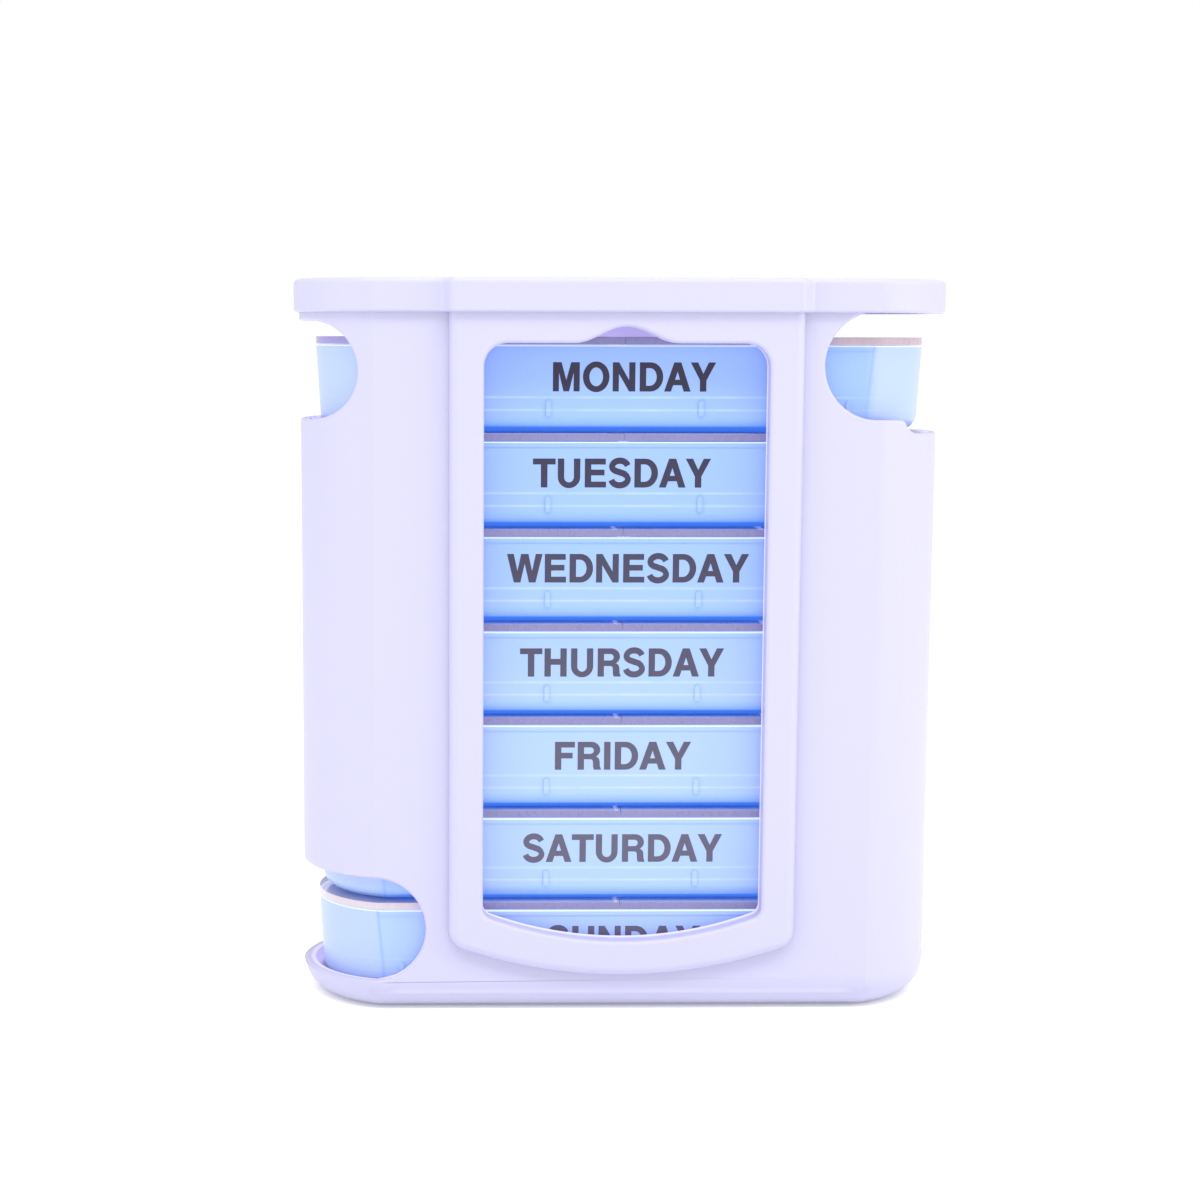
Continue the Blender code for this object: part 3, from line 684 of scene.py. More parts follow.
def build_tray(tray, lids):
    """The round foot, the leaning walls, the rim band, ribs, wells and hinge ears of one tray.

    The walls lean from the top of the foot's radius, so their plan is run out down to the foot."""
    rim = TRAY_LOW.z + tray.height
    run_out = tray.height / (tray.height - tray.foot)
    low_plan = round_plan(-tray.end_draft * run_out, -tray.face_draft * run_out, tray.end_reach)
    body = prism("tray", low_plan, TRAY_LOW.z, rim, Z)
    taper(body, round_plan(0, 0, tray.end_reach), Z)
    round_edges(body, at(Z, TRAY_LOW.z), tray.foot, 9)
    half, low = tray.band_half, tray.height - tray.band_height
    band = [(-half, low), (half, low), (half, tray.height), (-half, tray.height)]
    combine(body, "UNION", front_pad("band", band, tray.band_proud, tray))
    nubs = []
    for centre in (-tray.nub_outer, -tray.nub_inner, tray.nub_inner, tray.nub_outer):
        nubs.append(front_pad("nub", nub_outline(centre, tray), tray.nub_proud, tray))
    combine(body, "UNION", *nubs)
    combine(body, "DIFFERENCE", *[well_tool(index, tray) for index in range(WELLS_PER_TRAY)])
    clean(body, TRAY_MERGE)
    round_edges(body, both(at(Z, rim), sharp(50)), tray.rim_edge, 2)
    profile = ear_outline(tray, lids)
    ears = [
        prism("ear", profile, x - tray.ear_width / 2, x + tray.ear_width / 2, X)
        for x in ear_places(tray)
    ]
    combine(body, "UNION", *ears)
    mark_creases(body)
    smooth(body)
    return body


def well_lid_outline(index, tray, lids):
    """A well lid's plan: cut back round the ears, and round where it ends the tray."""
    centre, half = well_centre(index, tray)
    half += (tray.divider - lids.seam) / 2
    hinge_y = hinge_place(lids)[0]
    front = TRAY_LOW.y
    back = hinge_y + WELL_LID_HIGH.z / 2 - WELL_LID_LOW.z / 2
    notch = (tray.ear_width - lids.seam) / 2 + lids.gap
    ear_front = hinge_y - tray.ear_slot - tray.ear_wall - lids.gap
    inner = [(-half + notch, back), (-half + notch, ear_front), (-half, ear_front), (-half, front)]
    if index in (0, WELLS_PER_TRAY - 1):
        radius = end_radius(tray.end_reach)
        ear = ear_places(tray)[-1] - abs(centre)
        room = tray.ear_width / 2 + lids.gap
        first = math.degrees(math.asin((TRAY_HIGH.y - STACK_Y) / radius))
        last = math.degrees(math.asin((back - STACK_Y) / radius))
        outer = arc((TRAY_HIGH.x - radius - abs(centre), STACK_Y), radius, -first, last, 28)
        outer += [(ear + room, back), (ear + room, ear_front), (ear - room, ear_front), (ear - room, back)]
    else:
        outer = [(half, front), (half, ear_front), (half - notch, ear_front), (half - notch, back)]
    side = -1 if index == 0 else 1
    return [(centre + side * x, y) for x, y in [*outer, *inner]]


def rod_spans(index, tray, lids):
    """Where a well lid's two hinge rods begin and end along X."""
    centre, half = well_centre(index, tray)
    pitch_half = half + tray.divider / 2
    seat = pitch_half - tray.ear_width / 2 - lids.gap
    inner = (-pitch_half + lids.seam, -seat + tray.ear_width)
    outer = (seat - tray.ear_width, pitch_half - lids.seam)
    if index in (0, WELLS_PER_TRAY - 1):
        ear = ear_places(tray)[-1] - abs(centre)
        side = tray.ear_width / 2
        outer = (ear - side - lids.gap - tray.ear_width, ear + side - lids.seam)
    side = -1 if index == 0 else 1
    return [sorted((centre + side * a, centre + side * b)) for a, b in (inner, outer)]


def build_well_lid(index, tray, lids):
    """One well's plate and its two hinge rods."""
    low = WELL_LID_LOW.z - lids.lower
    lid = prism(f"well_lid_{index}", well_lid_outline(index, tray, lids), low, WELL_LID_HIGH.z, Z)
    round_edges(lid, either(at(Z, low), at(Z, WELL_LID_HIGH.z)), lids.edge, 2)
    round_rod = ring(hinge_place(lids), lids.rod, 12)
    rods = [prism("rod", round_rod, left, right, X) for left, right in rod_spans(index, tray, lids)]
    combine(lid, "UNION", *rods)
    smooth(lid)
    return lid


# Middle and width of each printed name along X
NAME_PLACES = {
    "monday": (0.00181, 0.03188),
    "tuesday": (-0.00046, 0.03499),
    "wednesday": (0.00093, 0.04782),
    "thursday": (-0.00007, 0.04051),
    "friday": (0.00031, 0.02715),
    "saturday": (0.0004, 0.03993),
    "sunday": (0.00079, 0.03086),
}

# As shares of the capitals' height: the bars of D, the line of S, and how far every outline is widened
BAR = 0.17
S_LINE = 0.19
LETTER_WEIGHT = 0.018


def oval(centre, reach, start, end, steps=14):
    """Points on an ellipse between two angles in degrees."""
    around = arc((0, 0), 1, start, end, steps)
    return [(centre[0] + reach[0] * x, centre[1] + reach[1] * y) for x, y in around]


def stroke(points, width):
    """A band of one width along a line of points."""
    sides = [[], []]
    for index, point in enumerate(points):
        before = Vector(points[max(index - 1, 0)])
        after = Vector(points[min(index + 1, len(points) - 1)])
        run = (after - before).normalized() * width / 2
        sides[0].append((point[0] - run.y, point[1] + run.x))
        sides[1].append((point[0] + run.y, point[1] - run.x))
    return [*sides[0], *reversed(sides[1])]


def letter_outlines():
    """The capitals, as shares of their height: how far each moves on, and its closed outlines."""
    a = [(0.03, 0), (0.25, 0), (0.33, 0.225), (0.68, 0.225), (0.755, 0), (0.98, 0), (0.625, 1), (0.385, 1)]
    a_hole = [(0.386, 0.385), (0.505, 0.745), (0.622, 0.385)]
    d = [(0.106, 0), (0.106, 1), *oval((0.5, 0.5), (0.454, 0.5), 90, -90)]
    d_hole = [(0.311, BAR), (0.311, 1 - BAR), *oval((0.475, 0.5), (0.27, 0.5 - BAR), 90, -90)]
    e = [(0.106, 0), (0.106, 1), (0.853, 1), (0.853, 0.825), (0.311, 0.825), (0.311, 0.605)]
    e += [(0.808, 0.605), (0.808, 0.435), (0.311, 0.435), (0.311, 0.175), (0.87, 0.175), (0.87, 0)]
    f = [(0.106, 0), (0.106, 1), (0.818, 1), (0.818, 0.825), (0.311, 0.825), (0.311, 0.595)]
    f += [(0.735, 0.595), (0.735, 0.42), (0.311, 0.42), (0.311, 0)]
    h = [(0.099, 0), (0.099, 1), (0.304, 1), (0.304, 0.615), (0.702, 0.615), (0.702, 1), (0.907, 1)]
    h += [(0.907, 0), (0.702, 0), (0.702, 0.435), (0.304, 0.435), (0.304, 0)]
    i = [(0.092, 0), (0.092, 1), (0.297, 1), (0.297, 0)]
    m = [(0.096, 0), (0.096, 1), (0.386, 1), (0.581, 0.32), (0.775, 1), (1.066, 1), (1.066, 0)]
    m += [(0.876, 0), (0.876, 0.79), (0.672, 0), (0.49, 0), (0.286, 0.79), (0.286, 0)]
    n = [(0.096, 0), (0.096, 1), (0.305, 1), (0.715, 0.32), (0.715, 1), (0.911, 1), (0.911, 0)]
    n += [(0.708, 0), (0.292, 0.675), (0.292, 0)]
    o = oval((0.543, 0.5), (0.482, 0.527), 0, 350, 35)
    o_hole = oval((0.543, 0.5), (0.275, 0.352), 0, 350, 35)
    r = [(0.106, 0), (0.106, 1), (0.6, 1), *oval((0.6, 0.722), (0.318, 0.278), 80, -62, 12)]
    r += oval((0.71, 0.29), (0.19, 0.175), 70, 0, 5)
    r += [(0.91, 0.1), (0.945, 0.028), (0.945, 0), (0.715, 0), (0.69, 0.1), (0.685, 0.24)]
    r += [*oval((0.58, 0.27), (0.105, 0.118), 0, 90, 5), (0.311, 0.388), (0.311, 0)]
    r_hole = [(0.311, 0.555), (0.311, 0.83), *oval((0.575, 0.692), (0.138, 0.137), 90, -90, 10)]
    spine = oval((0.47, 0.725), (0.295, 0.22), 15, 180, 12)
    spine += [(0.2, 0.65), (0.29, 0.585), (0.47, 0.527), (0.645, 0.47), (0.72, 0.4)]
    spine += oval((0.465, 0.285), (0.31, 0.225), 0, -168, 14)
    t = [(0.32, 0), (0.32, 0.825), (0.02, 0.825), (0.02, 1), (0.833, 1), (0.833, 0.825), (0.53, 0.825)]
    t += [(0.53, 0)]
    u = [(0.1, 1), (0.305, 1), (0.305, 0.38), *oval((0.504, 0.35), (0.199, 0.205), 180, 360), (0.703, 1)]
    u += [(0.908, 1), *oval((0.504, 0.36), (0.404, 0.387), 0, -180)]
    w = [(0.007, 1), (0.225, 1), (0.378, 0.315), (0.53, 1), (0.776, 1), (0.928, 0.315), (1.08, 1)]
    w += [(1.296, 1), (1.045, 0), (0.825, 0), (0.651, 0.745), (0.478, 0), (0.258, 0)]
    y = [(0.02, 1), (0.255, 1), (0.467, 0.575), (0.678, 1), (0.91, 1), (0.57, 0.385), (0.57, 0)]
    y += [(0.362, 0), (0.362, 0.385)]
    return {
        "A": (1.008, a, a_hole),
        "D": (1.008, d, d_hole),
        "E": (0.932, e),
        "F": (0.853, f),
        "H": (1.008, h),
        "I": (0.388, i),
        "M": (1.163, m),
        "N": (1.008, n),
        "O": (1.087, o, o_hole),
        "R": (1.008, r, r_hole),
        "S": (0.932, stroke(spine, S_LINE)),
        "T": (0.853, t),
        "U": (1.008, u),
        "W": (1.318, w),
        "Y": (0.932, y),
    }


def word_curve(word, depth):
    """A word as a filled flat curve of its letters' outlines, one high."""
    curve = bpy.data.curves.new(word, "CURVE")
    curve.dimensions = "2D"
    curve.fill_mode = "BOTH"
    curve.extrude = depth / 2
    curve.offset = LETTER_WEIGHT
    letters = letter_outlines()
    along = 0
    for letter in word:
        advance, *outlines = letters[letter]
        for outline in outlines:
            line = curve.splines.new("POLY")
            line.points.add(len(outline) - 1)
            for point, (x, y) in zip(line.points, outline):
                point.co = (along + x, y, 0, 1)
            line.use_cyclic_u = True
        along += advance
    obj = bpy.data.objects.new(word, curve)
    bpy.context.scene.collection.objects.link(obj)
    return obj


def build_name(day, order, tray, names):
    """A day's name, drawn flat, made a mesh, sized, and stood on the tray's leaning front."""
    obj = word_curve(day.upper(), names.depth)
    centre, width = NAME_PLACES[day]
    activate(obj)
    bpy.ops.object.convert(target="MESH")
    obj = bpy.context.object
    obj.name = f"name_{day}"
    obj.data.name = obj.name
    low, high = mesh_box(obj)
    middle = (low + high) / 2
    lean = math.atan2(tray.face_draft, tray.height - tray.foot)
    rim = TRAY_LOW.z + tray.height - TRAY_PITCH * order
    height = names.drop + names.cap_height / 2
    face = TRAY_LOW.y + height * math.tan(lean)
    obj.data.transform(
        Matrix.Translation((centre, face, rim - height))
        @ Matrix.Rotation(math.pi / 2 + lean, 4, "X")
        @ Matrix.Diagonal((width / (high.x - low.x), names.cap_height / (1 + 2 * LETTER_WEIGHT), 1, 1))
        @ Matrix.Translation((-middle.x, -1 / 2, 0))
    )
    clean(obj)
    return obj


def mesh_box(obj):
    places = [vertex.co for vertex in obj.data.vertices]
    low = Vector([min(place[axis] for place in places) for axis in (X, Y, Z)])
    high = Vector([max(place[axis] for place in places) for axis in (X, Y, Z)])
    return low, high


# Materials

# Distance from the middle line, and heights, between which the painted light on the case's inside begins and
# ends
GLOW_WALL = (0.0188, 0.0200)
GLOW_FLOOR = (0.0035, 0.0045)
GLOW_LID = (0.1385, 0.1395)
GLOW_TOP = (0.1445, 0.1455)

# Heights above a tray's foot between which its painted shade and painted glow change, those of the floor's
# two faint lines, depths below the rim between which the painted highlight on the rim comes in, and the
# widths of the fine lines and of the painted shade along the creases
FOOT_BAND = (0.0009, 0.0013)
FOOT_FADE = (0.0008, 0.0042)
FLOOR_LINES = (0.0068, 0.0043)
RIM_LIGHT = (0.0003, 0.0001)
FLOOR_LINE_WIDTH = 0.0004
CREASE_SHADE_WIDTH = 0.0006

# Heights and distances from the middle between which the painted paler lower trays, the painted colours of
# the lid edges and the painted paler print change
LOW_TRAYS = (0.05, 0.10)
LID_ENDS = (0.030, 0.044)
LAST_LID = (0.025, 0.035)
LOW_PRINT = (0.02, 0.13)

# Second tones that patterns drift to, painted shade along the creases and towards a tray's foot, the painted
# glow for light that comes out of milky plastic, and the painted highlight on a tray's rim
CREASE_SHADE_TONE = (0.16, 0.27, 0.64)
FLOOR_TONE = (0.62, 0.72, 0.90)
CLOUD_TONE = (0.44, 0.56, 0.80)
FOOT_SHADE_TONE = (0.10, 0.30, 0.78)
FACE_PAINTED_GLOW = (0.013, 0.04, 0.11)
RIM_PAINTED_HIGHLIGHT = (0.62, 0.68, 0.95)
LID_MARKS = (0.88, 0.88, 0.98)
EDGE_FLOW = (0.46, 0.44, 0.80)
WIRE_LINES = (0.68, 0.68, 0.70)


class Field:
    """A node's output that varies over a surface. Sums on it add Math nodes."""

    def __init__(self, finish, socket):
        self.finish = finish
        self.socket = socket

    def maths(self, operation, *values):
        node = self.finish.node("ShaderNodeMath", {"operation": operation}, dict(enumerate(values)))
        return Field(self.finish, node.outputs[0])

    def __add__(self, other):
        return self.maths("ADD", self, other)

    def __sub__(self, other):
        return self.maths("SUBTRACT", self, other)

    def __rsub__(self, other):
        return self.maths("SUBTRACT", other, self)

    def __mul__(self, other):
        return self.maths("MULTIPLY", self, other)

    def __truediv__(self, other):
        return self.maths("DIVIDE", self, other)

    def __abs__(self):
        return self.maths("ABSOLUTE", self)

    __radd__ = __add__
    __rmul__ = __mul__

    def at_least(self, low):
        return self.maths("MAXIMUM", self, low)

    def root(self):
        return self.maths("SQRT", self)

    def part(self):
        """What is left above the last whole number."""
        return self.maths("FRACT", self)

    def step(self, start, end):
        """A smooth change from 0 at one value to 1 at another."""
        settings = {"interpolation_type": "SMOOTHSTEP"}
        values = {"Value": self, "From Min": start, "From Max": end}
        return Field(self.finish, self.finish.node("ShaderNodeMapRange", settings, values).outputs[0])


class Finish:
    """A material with a Principled shader, built node by node."""

    def __init__(self, name, **constants):
        self.material = bpy.data.materials.new(name)
        self.material.use_nodes = True
        self.tree = self.material.node_tree
        self.shader = self.tree.nodes["Principled BSDF"]
        for socket, value in constants.items():
            self.shader.inputs[socket.replace("_", " ")].default_value = value
        self.place = self.node("ShaderNodeTexCoord").outputs["Object"]

    def node(self, kind, settings=None, values=None):
        """Adds a node: its settings first, then the values or links of its sockets."""
        node = self.tree.nodes.new(kind)
        for name, value in (settings or {}).items():
            setattr(node, name, value)
        for name, value in (values or {}).items():
            self.feed(node.inputs[name], value)
        return node

    def feed(self, socket, value):
        if isinstance(value, Field):
            value = value.socket
        if isinstance(value, bpy.types.NodeSocket):
            self.tree.links.new(value, socket)
        elif socket.type == "RGBA" and len(value) == 3:
            socket.default_value = (*value, 1)
        else:
            socket.default_value = value

    def set(self, name, value):
        self.feed(self.shader.inputs[name], value)

    def axes(self):
        """The three object coordinates."""
        split = self.node("ShaderNodeSeparateXYZ", values={"Vector": self.place})
        return [Field(self, output) for output in split.outputs]

    def noise(self, scale, detail=2, stretched=(1, 1, 1)):
        """Soft random variation from 0 to 1, with features of a size in 1 / scale metres."""
        mapping = self.node("ShaderNodeMapping", values={"Vector": self.place, "Scale": stretched})
        values = {"Vector": mapping.outputs[0], "Scale": scale, "Detail": detail}
        return Field(self, self.node("ShaderNodeTexNoise", values=values).outputs["Fac"])

    def mix(self, factor, first, second):
        """A colour between two colours."""
        mixer = self.node("ShaderNodeMix", {"data_type": "RGBA"})
        self.feed(mixer.inputs[0], factor)
        self.feed(mixer.inputs[6], first)
        self.feed(mixer.inputs[7], second)
        return mixer.outputs[2]

    def bump(self, height, distance):
        values = {"Strength": 1, "Distance": distance, "Height": height}
        self.set("Normal", self.node("ShaderNodeBump", values=values).outputs[0])


def case_plastic(tones, end_centre):
    """Smooth moulded plastic with a faint grain and soft upright streaks from the mould, and painted light
    on the insides of case and lid, weaker in the lid, in place of light that comes through the thin walls.
    """
    finish = Finish("case_plastic", Specular_IOR_Level=0.35, Emission_Strength=0.58)
    x, y, z = finish.axes()
    over = (abs(x) - end_centre).at_least(0)
    across = y - STACK_Y
    reach = (over * over + across * across).root()
    # Painted light: surfaces inside the case glow, less inside the lid and not above it
    inside = (1 - reach.step(*GLOW_WALL)) * z.step(*GLOW_FLOOR) * (1 - z.step(*GLOW_TOP))
    inside = inside * (1 - z.step(*GLOW_LID) * 0.6)
    finish.set("Emission Color", finish.mix(inside, (0, 0, 0), tones.case_inside_painted_light))
    streaks = finish.noise(60, 2, (1, 1, 0.06))
    drift = finish.noise(18, 1)
    finish.set("Base Color", finish.mix(streaks * 0.5 + drift * 0.5, tones.case, tones.case_warm))
    finish.set("Roughness", finish.noise(240, 3) * 0.12 + 0.40)
    finish.bump(finish.noise(4200, 2) + streaks * 0.5, 0.000004)
    return finish.material


def tray_plastic(tones, tray):
    """Milky plastic: pale on the thin walls, deep blue where light gathers in the thick foot, which is
    painted as dark shade with a blue glow. Painted light makes the round ends and the lower trays paler and
    adds a faint glow to the faces and a highlight on the rim; painted shade darkens the creases and the face
    towards the foot.
    """
    finish = Finish("tray_plastic", Specular_IOR_Level=0.5, Emission_Strength=0.75)
    x, _, z = finish.axes()
    height = ((z - (TRAY_LOW.z - TRAY_PITCH * len(DAYS))) / TRAY_PITCH).part() * TRAY_PITCH
    out = abs(x)
    lean = tray.end_draft * 2
    edge_x = TRAY_HIGH.x - tray.end_reach - lean * (1 - height / tray.height)
    # Painted light: past the creases the round ends are painted paler
    end = out.step(tray.band_half - lean, tray.band_half + lean)
    # Painted shade: a dark line along each crease between a flat face and a round end
    line = 1 - abs(out - edge_x).step(0, CREASE_SHADE_WIDTH)
    middle = 1 - out.step(tray.nub_outer - tray.wall * 5, tray.band_half + lean) * 0.8
    # Painted shade: the foot's lowest band is painted dark and the face darker towards the foot, less near
    # the ends
    foot = (1 - height.step(*FOOT_BAND)) * middle
    fade = (1 - height.step(*FOOT_FADE)) * middle
    # Painted highlight: a bright line along the top of the rim
    rim = height.step(*[tray.height - below for below in RIM_LIGHT])
    cloud = finish.noise(60, 1)
    upper, lower = [1 - abs(height - line_z).step(0, FLOOR_LINE_WIDTH) for line_z in FLOOR_LINES]
    floor_lines = (upper + lower) * finish.noise(160, 2, (1, 1, 0.1)) * middle
    shade = tones.tray
    for factor, tone in (
        # painted light on the lower trays
        (1 - z.step(*LOW_TRAYS), tones.lower_trays_painted_light),
        # painted light on the round ends
        (end, tones.tray_end_painted_light),
        # painted shade along the creases
        (line * 0.5, CREASE_SHADE_TONE),
        (floor_lines * 0.4, FLOOR_TONE),
        (cloud * 0.05, CLOUD_TONE),
        # painted shade towards the foot and at the foot
        (fade * 0.45, FOOT_SHADE_TONE),
        (foot, tones.tray_foot_painted_shade),
    ):
        shade = finish.mix(factor, shade, tone)
    finish.set("Base Color", shade)
    # Painted glow: deep blue at the foot and faint over the faces, with a painted highlight on the rim
    light = finish.mix(foot, FACE_PAINTED_GLOW, tones.tray_foot_painted_glow)
    finish.set("Emission Color", finish.mix(rim, light, RIM_PAINTED_HIGHLIGHT))
    finish.set("Roughness", finish.noise(300, 2) * 0.08 + 0.28)
    finish.bump(finish.noise(500, 1), 0.000004)
    return finish.material


def lid_faces(tones):
    """Clear plastic, seen through, with faint flow marks."""
    finish = Finish("lid_clear", Specular_IOR_Level=0.6)
    marks = finish.noise(140, 2)
    finish.set("Base Color", finish.mix(marks, tones.lid_face, LID_MARKS))
    finish.set("Roughness", finish.noise(500, 2) * 0.08 + 0.10)
    finish.set("Alpha", marks * 0.10 + 0.38)
    finish.bump(marks, 0.00001)
    return finish.material


def lid_edges(tones):
    """The edge of a clear lid, painted with the colours it refracts and reflects from round it, which change
    towards both ends and on the last lid, and given a painted glow of the same colours.
    """
    finish = Finish("lid_edge", Specular_IOR_Level=0.5, Emission_Strength=0.18)
    x, _, z = finish.axes()
    right = x.step(*LID_ENDS)
    left = (0 - x).step(*LID_ENDS)
    last = left * (1 - z.step(*LAST_LID))
    base = finish.mix(right, tones.lid_edge, tones.lid_edge_right)
    base = finish.mix(left, base, tones.lid_edge_left)
    base = finish.mix(last, base, tones.lid_edge_low)
    flow = finish.noise(120, 2, (1, 1, 2))
    shade = finish.mix(flow * 0.1, base, EDGE_FLOW)
    finish.set("Base Color", shade)
    # Painted glow: the edge gives off its own painted colours
    finish.set("Emission Color", shade)
    finish.set("Roughness", finish.noise(600, 2) * 0.15 + 0.2)
    finish.bump(flow, 0.00001)
    return finish.material


def printed_ink(tones):
    """Screen print, with painted light that makes it a little paler on the lower trays."""
    finish = Finish("printed_ink", Specular_IOR_Level=0.3)
    z = finish.axes()[Z]
    low = 1 - z.step(*LOW_PRINT)
    # Painted light: paler towards the lower trays, with a faint random tone
    finish.set("Base Color", finish.mix(low + finish.noise(900, 3) * 0.12, tones.ink, tones.ink_lower_painted_light))
    finish.set("Roughness", finish.noise(1500, 2) * 0.2 + 0.4)
    return finish.material


def pin_steel(tones):
    """Drawn wire with fine lines along it."""
    finish = Finish("pin_steel", Metallic=1)
    lines = finish.noise(6000, 2, (1, 0.04, 1))
    finish.set("Base Color", finish.mix(lines, tones.pin, WIRE_LINES))
    finish.set("Roughness", lines * 0.15 + 0.22)
    finish.bump(lines, 0.000004)
    return finish.material


def stage_paper(tones):
    """A white paper that shows hardly any shade, so that floor and background are one."""
    finish = Finish("stage_paper", Specular_IOR_Level=0, Roughness=0.9, Emission_Strength=0.19)
    finish.set("Base Color", tones.stage)
    finish.set("Emission Color", tones.stage)
    return finish.material


def made_once(name, make, *details):
    """A material that several operators share."""
    return bpy.data.materials.get(name) or make(*details)


def case_finish(scene):
    end_centre = TRAY_HIGH.x - end_radius(scene.pill_tray.end_reach)
    return made_once("case_plastic", case_plastic, scene.pill_finish, end_centre)


# Stage, light and camera

CAMERA_PLACE = (-0.03542, -0.45123, 0.13586)
CAMERA_PITCH = math.radians(6.92)
CAMERA_YAW = math.radians(1.02)
CAMERA_ROLL = math.radians(0.14)
CAMERA_LENS = 66.651
CAMERA_SHIFT = 0.0974
CAMERA_SENSOR = 36
CAMERA_NEAR, CAMERA_FAR = 0.01, 50

FLOOR_RADIUS = 12
LIGHT_TARGET = (0, 0, 0.08)

# The name, place, width, height and watts of each light
LIGHTS = (
    ("side", (0.9, -0.3, 0.4), 0.4, 0.4, 2.8),
    ("fill", (-0.9, -0.4, 0.3), 0.4, 0.4, 1.3),
    ("top", (0, 0.2, 1.0), 0.3, 0.3, 1.5),
    ("key", (0, -1.0, 1.92), 2.8, 0.6, 34),
)


def build_floor(tones):
    bpy.ops.object.select_all(action="DESELECT")
    bpy.ops.mesh.primitive_circle_add(vertices=96, radius=FLOOR_RADIUS, fill_type="NGON")
    floor = adopt("floor")
    paint(floor, made_once("stage_paper", stage_paper, tones))


def area_light(name, place, wide, high, watts):
    """A soft light that looks at the piece and isn't seen itself."""
    data = bpy.data.lights.new(name, "AREA")
    data.shape = "RECTANGLE"
    data.size = wide
    data.size_y = high
    data.energy = watts
    lamp = bpy.data.objects.new(name, data)
    bpy.context.scene.collection.objects.link(lamp)
    lamp.location = place
    lamp.rotation_euler = (Vector(LIGHT_TARGET) - Vector(place)).to_track_quat("-Z", "Y").to_euler()
    lamp.visible_camera = False


def build_lights():
    world = bpy.data.worlds.new("soft_studio")
    world.use_nodes = True
    sky = world.node_tree.nodes["Background"]
    sky.inputs["Color"].default_value = (1, 1, 1, 1)
    sky.inputs["Strength"].default_value = 1.0
    bpy.context.scene.world = world
    for light in LIGHTS:
        area_light(*light)


def build_camera():
    data = bpy.data.cameras.new("camera")
    data.lens = CAMERA_LENS
    data.shift_x = CAMERA_SHIFT
    data.sensor_width = CAMERA_SENSOR
    data.clip_start = CAMERA_NEAR
    data.clip_end = CAMERA_FAR
    camera = bpy.data.objects.new("camera", data)
    bpy.context.scene.collection.objects.link(camera)
    turn = (
        Matrix.Rotation(-CAMERA_YAW, 4, "Z")
        @ Matrix.Rotation(math.pi / 2 - CAMERA_PITCH, 4, "X")
        @ Matrix.Rotation(CAMERA_ROLL, 4, "Z")
    )
    camera.matrix_world = Matrix.Translation(CAMERA_PLACE) @ turn
    bpy.context.scene.camera = camera


# Operators, one for each piece or group of like pieces


class OrganizerStep(bpy.types.Operator):
    """What every step of the build shares"""

    bl_idname = "organizer.step"
    bl_label = "Step"

    def execute(self, context):
        self.build(context.scene)
        return {"FINISHED"}


class ORGANIZER_OT_case(OrganizerStep):
    """Builds the case with its raised frame, window and notches"""

    bl_idname = "organizer.case"
    bl_label = "Case"

    def build(self, scene):
        shell = build_case(
            scene.pill_case, scene.pill_window, scene.pill_notch, scene.pill_case_lid, scene.pill_tray
        )
        paint(shell, case_finish(scene))
        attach(shell, "case")
        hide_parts("case_body")


class ORGANIZER_OT_case_lid(OrganizerStep):
    """Builds the case lid that steps out over the raised frame"""

    bl_idname = "organizer.case_lid"
    bl_label = "Case Lid"

    def build(self, scene):
        cover = build_case_lid(scene.pill_case, scene.pill_case_lid, scene.pill_tray)
        paint(cover, case_finish(scene))
        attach(cover, "case_lid")
        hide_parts("case_lid")


class ORGANIZER_OT_hinge_pin(OrganizerStep):
    """Gives the hinge pin its steel"""

    bl_idname = "organizer.hinge_pin"
    bl_label = "Hinge Pin"

    def build(self, scene):
        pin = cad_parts["case_lid_hinge_pin"]
        steel = made_once("pin_steel", pin_steel, scene.pill_finish)
        for slot in pin.material_slots:
            slot.material = steel


class ORGANIZER_OT_trays(OrganizerStep):
    """Builds one day tray and copies it down the stack"""

    bl_idname = "organizer.trays"
    bl_label = "Day Trays"

    def build(self, scene):
        pattern = build_tray(scene.pill_tray, scene.pill_well_lid)
        paint(pattern, made_once("tray_plastic", tray_plastic, scene.pill_finish, scene.pill_tray))
        for order, day in enumerate(DAYS):
            body = copy_of(pattern, f"{day}_tray", (0, 0, -TRAY_PITCH * order))
            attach(body, body_of_day(day))
            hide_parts(f"tray_{day}")
        bpy.data.objects.remove(pattern, do_unlink=True)


class ORGANIZER_OT_well_lids(OrganizerStep):
    """Builds the four clear lids of one tray and copies them down the stack"""

    bl_idname = "organizer.well_lids"
    bl_label = "Well Lids"

    def build(self, scene):
        tones = scene.pill_finish
        faces = made_once("lid_clear", lid_faces, tones)
        edges = made_once("lid_edge", lid_edges, tones)
        for index in range(WELLS_PER_TRAY):
            pattern = build_well_lid(index, scene.pill_tray, scene.pill_well_lid)
            paint(pattern, faces, edges)
            for face in pattern.data.polygons:
                face.material_index = int(abs(face.normal.z) < 0.5)
            for order, day in enumerate(DAYS):
                lid = copy_of(pattern, f"{day}_lid_{index + 1}", (0, 0, -TRAY_PITCH * order))
                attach(lid, f"monday_lid_{index + 1}" if order == 0 else "case")
                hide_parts(f"lid_{day}_{index + 1}")
            bpy.data.objects.remove(pattern, do_unlink=True)


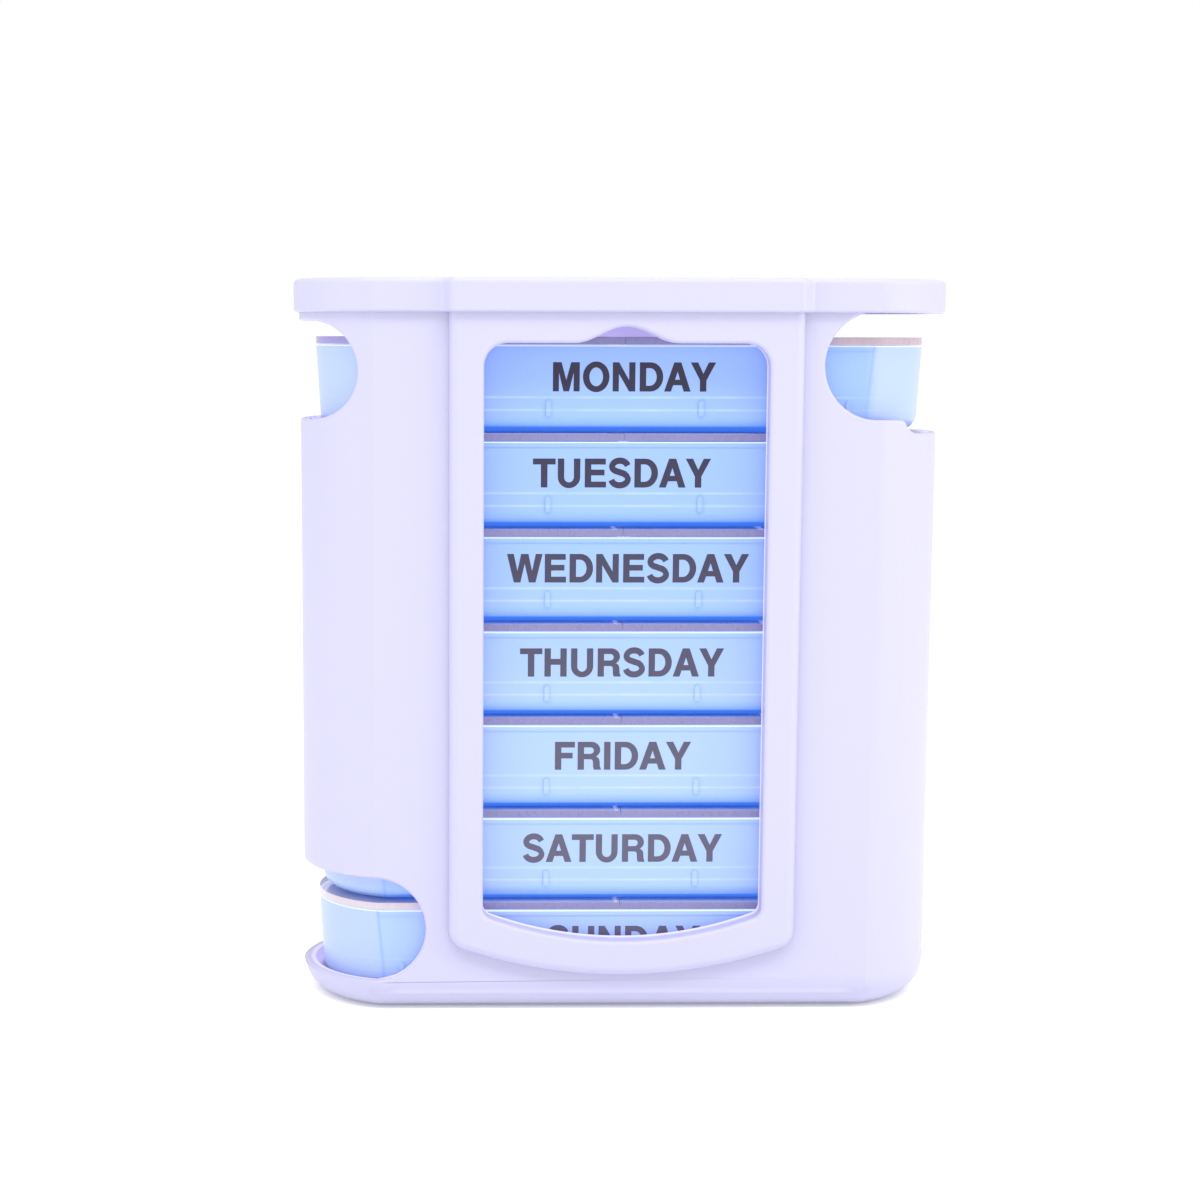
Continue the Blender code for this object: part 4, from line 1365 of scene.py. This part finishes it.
class ORGANIZER_OT_names(OrganizerStep):
    """Prints the day names on the trays"""

    bl_idname = "organizer.names"
    bl_label = "Day Names"

    def build(self, scene):
        ink = made_once("printed_ink", printed_ink, scene.pill_finish)
        for order, day in enumerate(DAYS):
            name = build_name(day, order, scene.pill_tray, scene.pill_name)
            paint(name, ink)
            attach(name, body_of_day(day))


class ORGANIZER_OT_stage(OrganizerStep):
    """Sets the floor, the lights and the camera"""

    bl_idname = "organizer.stage"
    bl_label = "Stage"

    def build(self, scene):
        scene.view_settings.view_transform = "Standard"
        build_floor(scene.pill_finish)
        build_lights()
        build_camera()


class ORGANIZER_PT_panel(bpy.types.Panel):
    """Lists the steps and the sizes of the organizer"""

    bl_label = "Pill Organizer"
    bl_idname = "ORGANIZER_PT_panel"
    bl_space_type = "VIEW_3D"
    bl_region_type = "UI"
    bl_category = "Organizer"

    def draw(self, context):
        for step in STEPS:
            self.layout.operator(step.bl_idname)
        for name, group in GROUPS.items():
            box = self.layout.box()
            for field in group.__annotations__:
                box.prop(getattr(context.scene, name), field)


STEPS = (
    ORGANIZER_OT_case,
    ORGANIZER_OT_case_lid,
    ORGANIZER_OT_hinge_pin,
    ORGANIZER_OT_trays,
    ORGANIZER_OT_well_lids,
    ORGANIZER_OT_names,
    ORGANIZER_OT_stage,
)
GROUPS = {
    "pill_case": CaseSizes,
    "pill_window": WindowSizes,
    "pill_notch": NotchSizes,
    "pill_case_lid": CaseLidSizes,
    "pill_tray": TraySizes,
    "pill_well_lid": WellLidSizes,
    "pill_name": NameSizes,
    "pill_finish": Finishes,
}


def register():
    for name, group in GROUPS.items():
        bpy.utils.register_class(group)
        setattr(bpy.types.Scene, name, bpy.props.PointerProperty(type=group))
    for made in (*STEPS, ORGANIZER_PT_panel):
        bpy.utils.register_class(made)


def unregister():
    for made in reversed((*STEPS, ORGANIZER_PT_panel)):
        bpy.utils.unregister_class(made)
    for name, group in GROUPS.items():
        delattr(bpy.types.Scene, name)
        bpy.utils.unregister_class(group)


def main():
    register()
    for step in STEPS:
        getattr(bpy.ops.organizer, step.bl_idname.split(".")[1])()


if __name__ == "__main__":
    main()
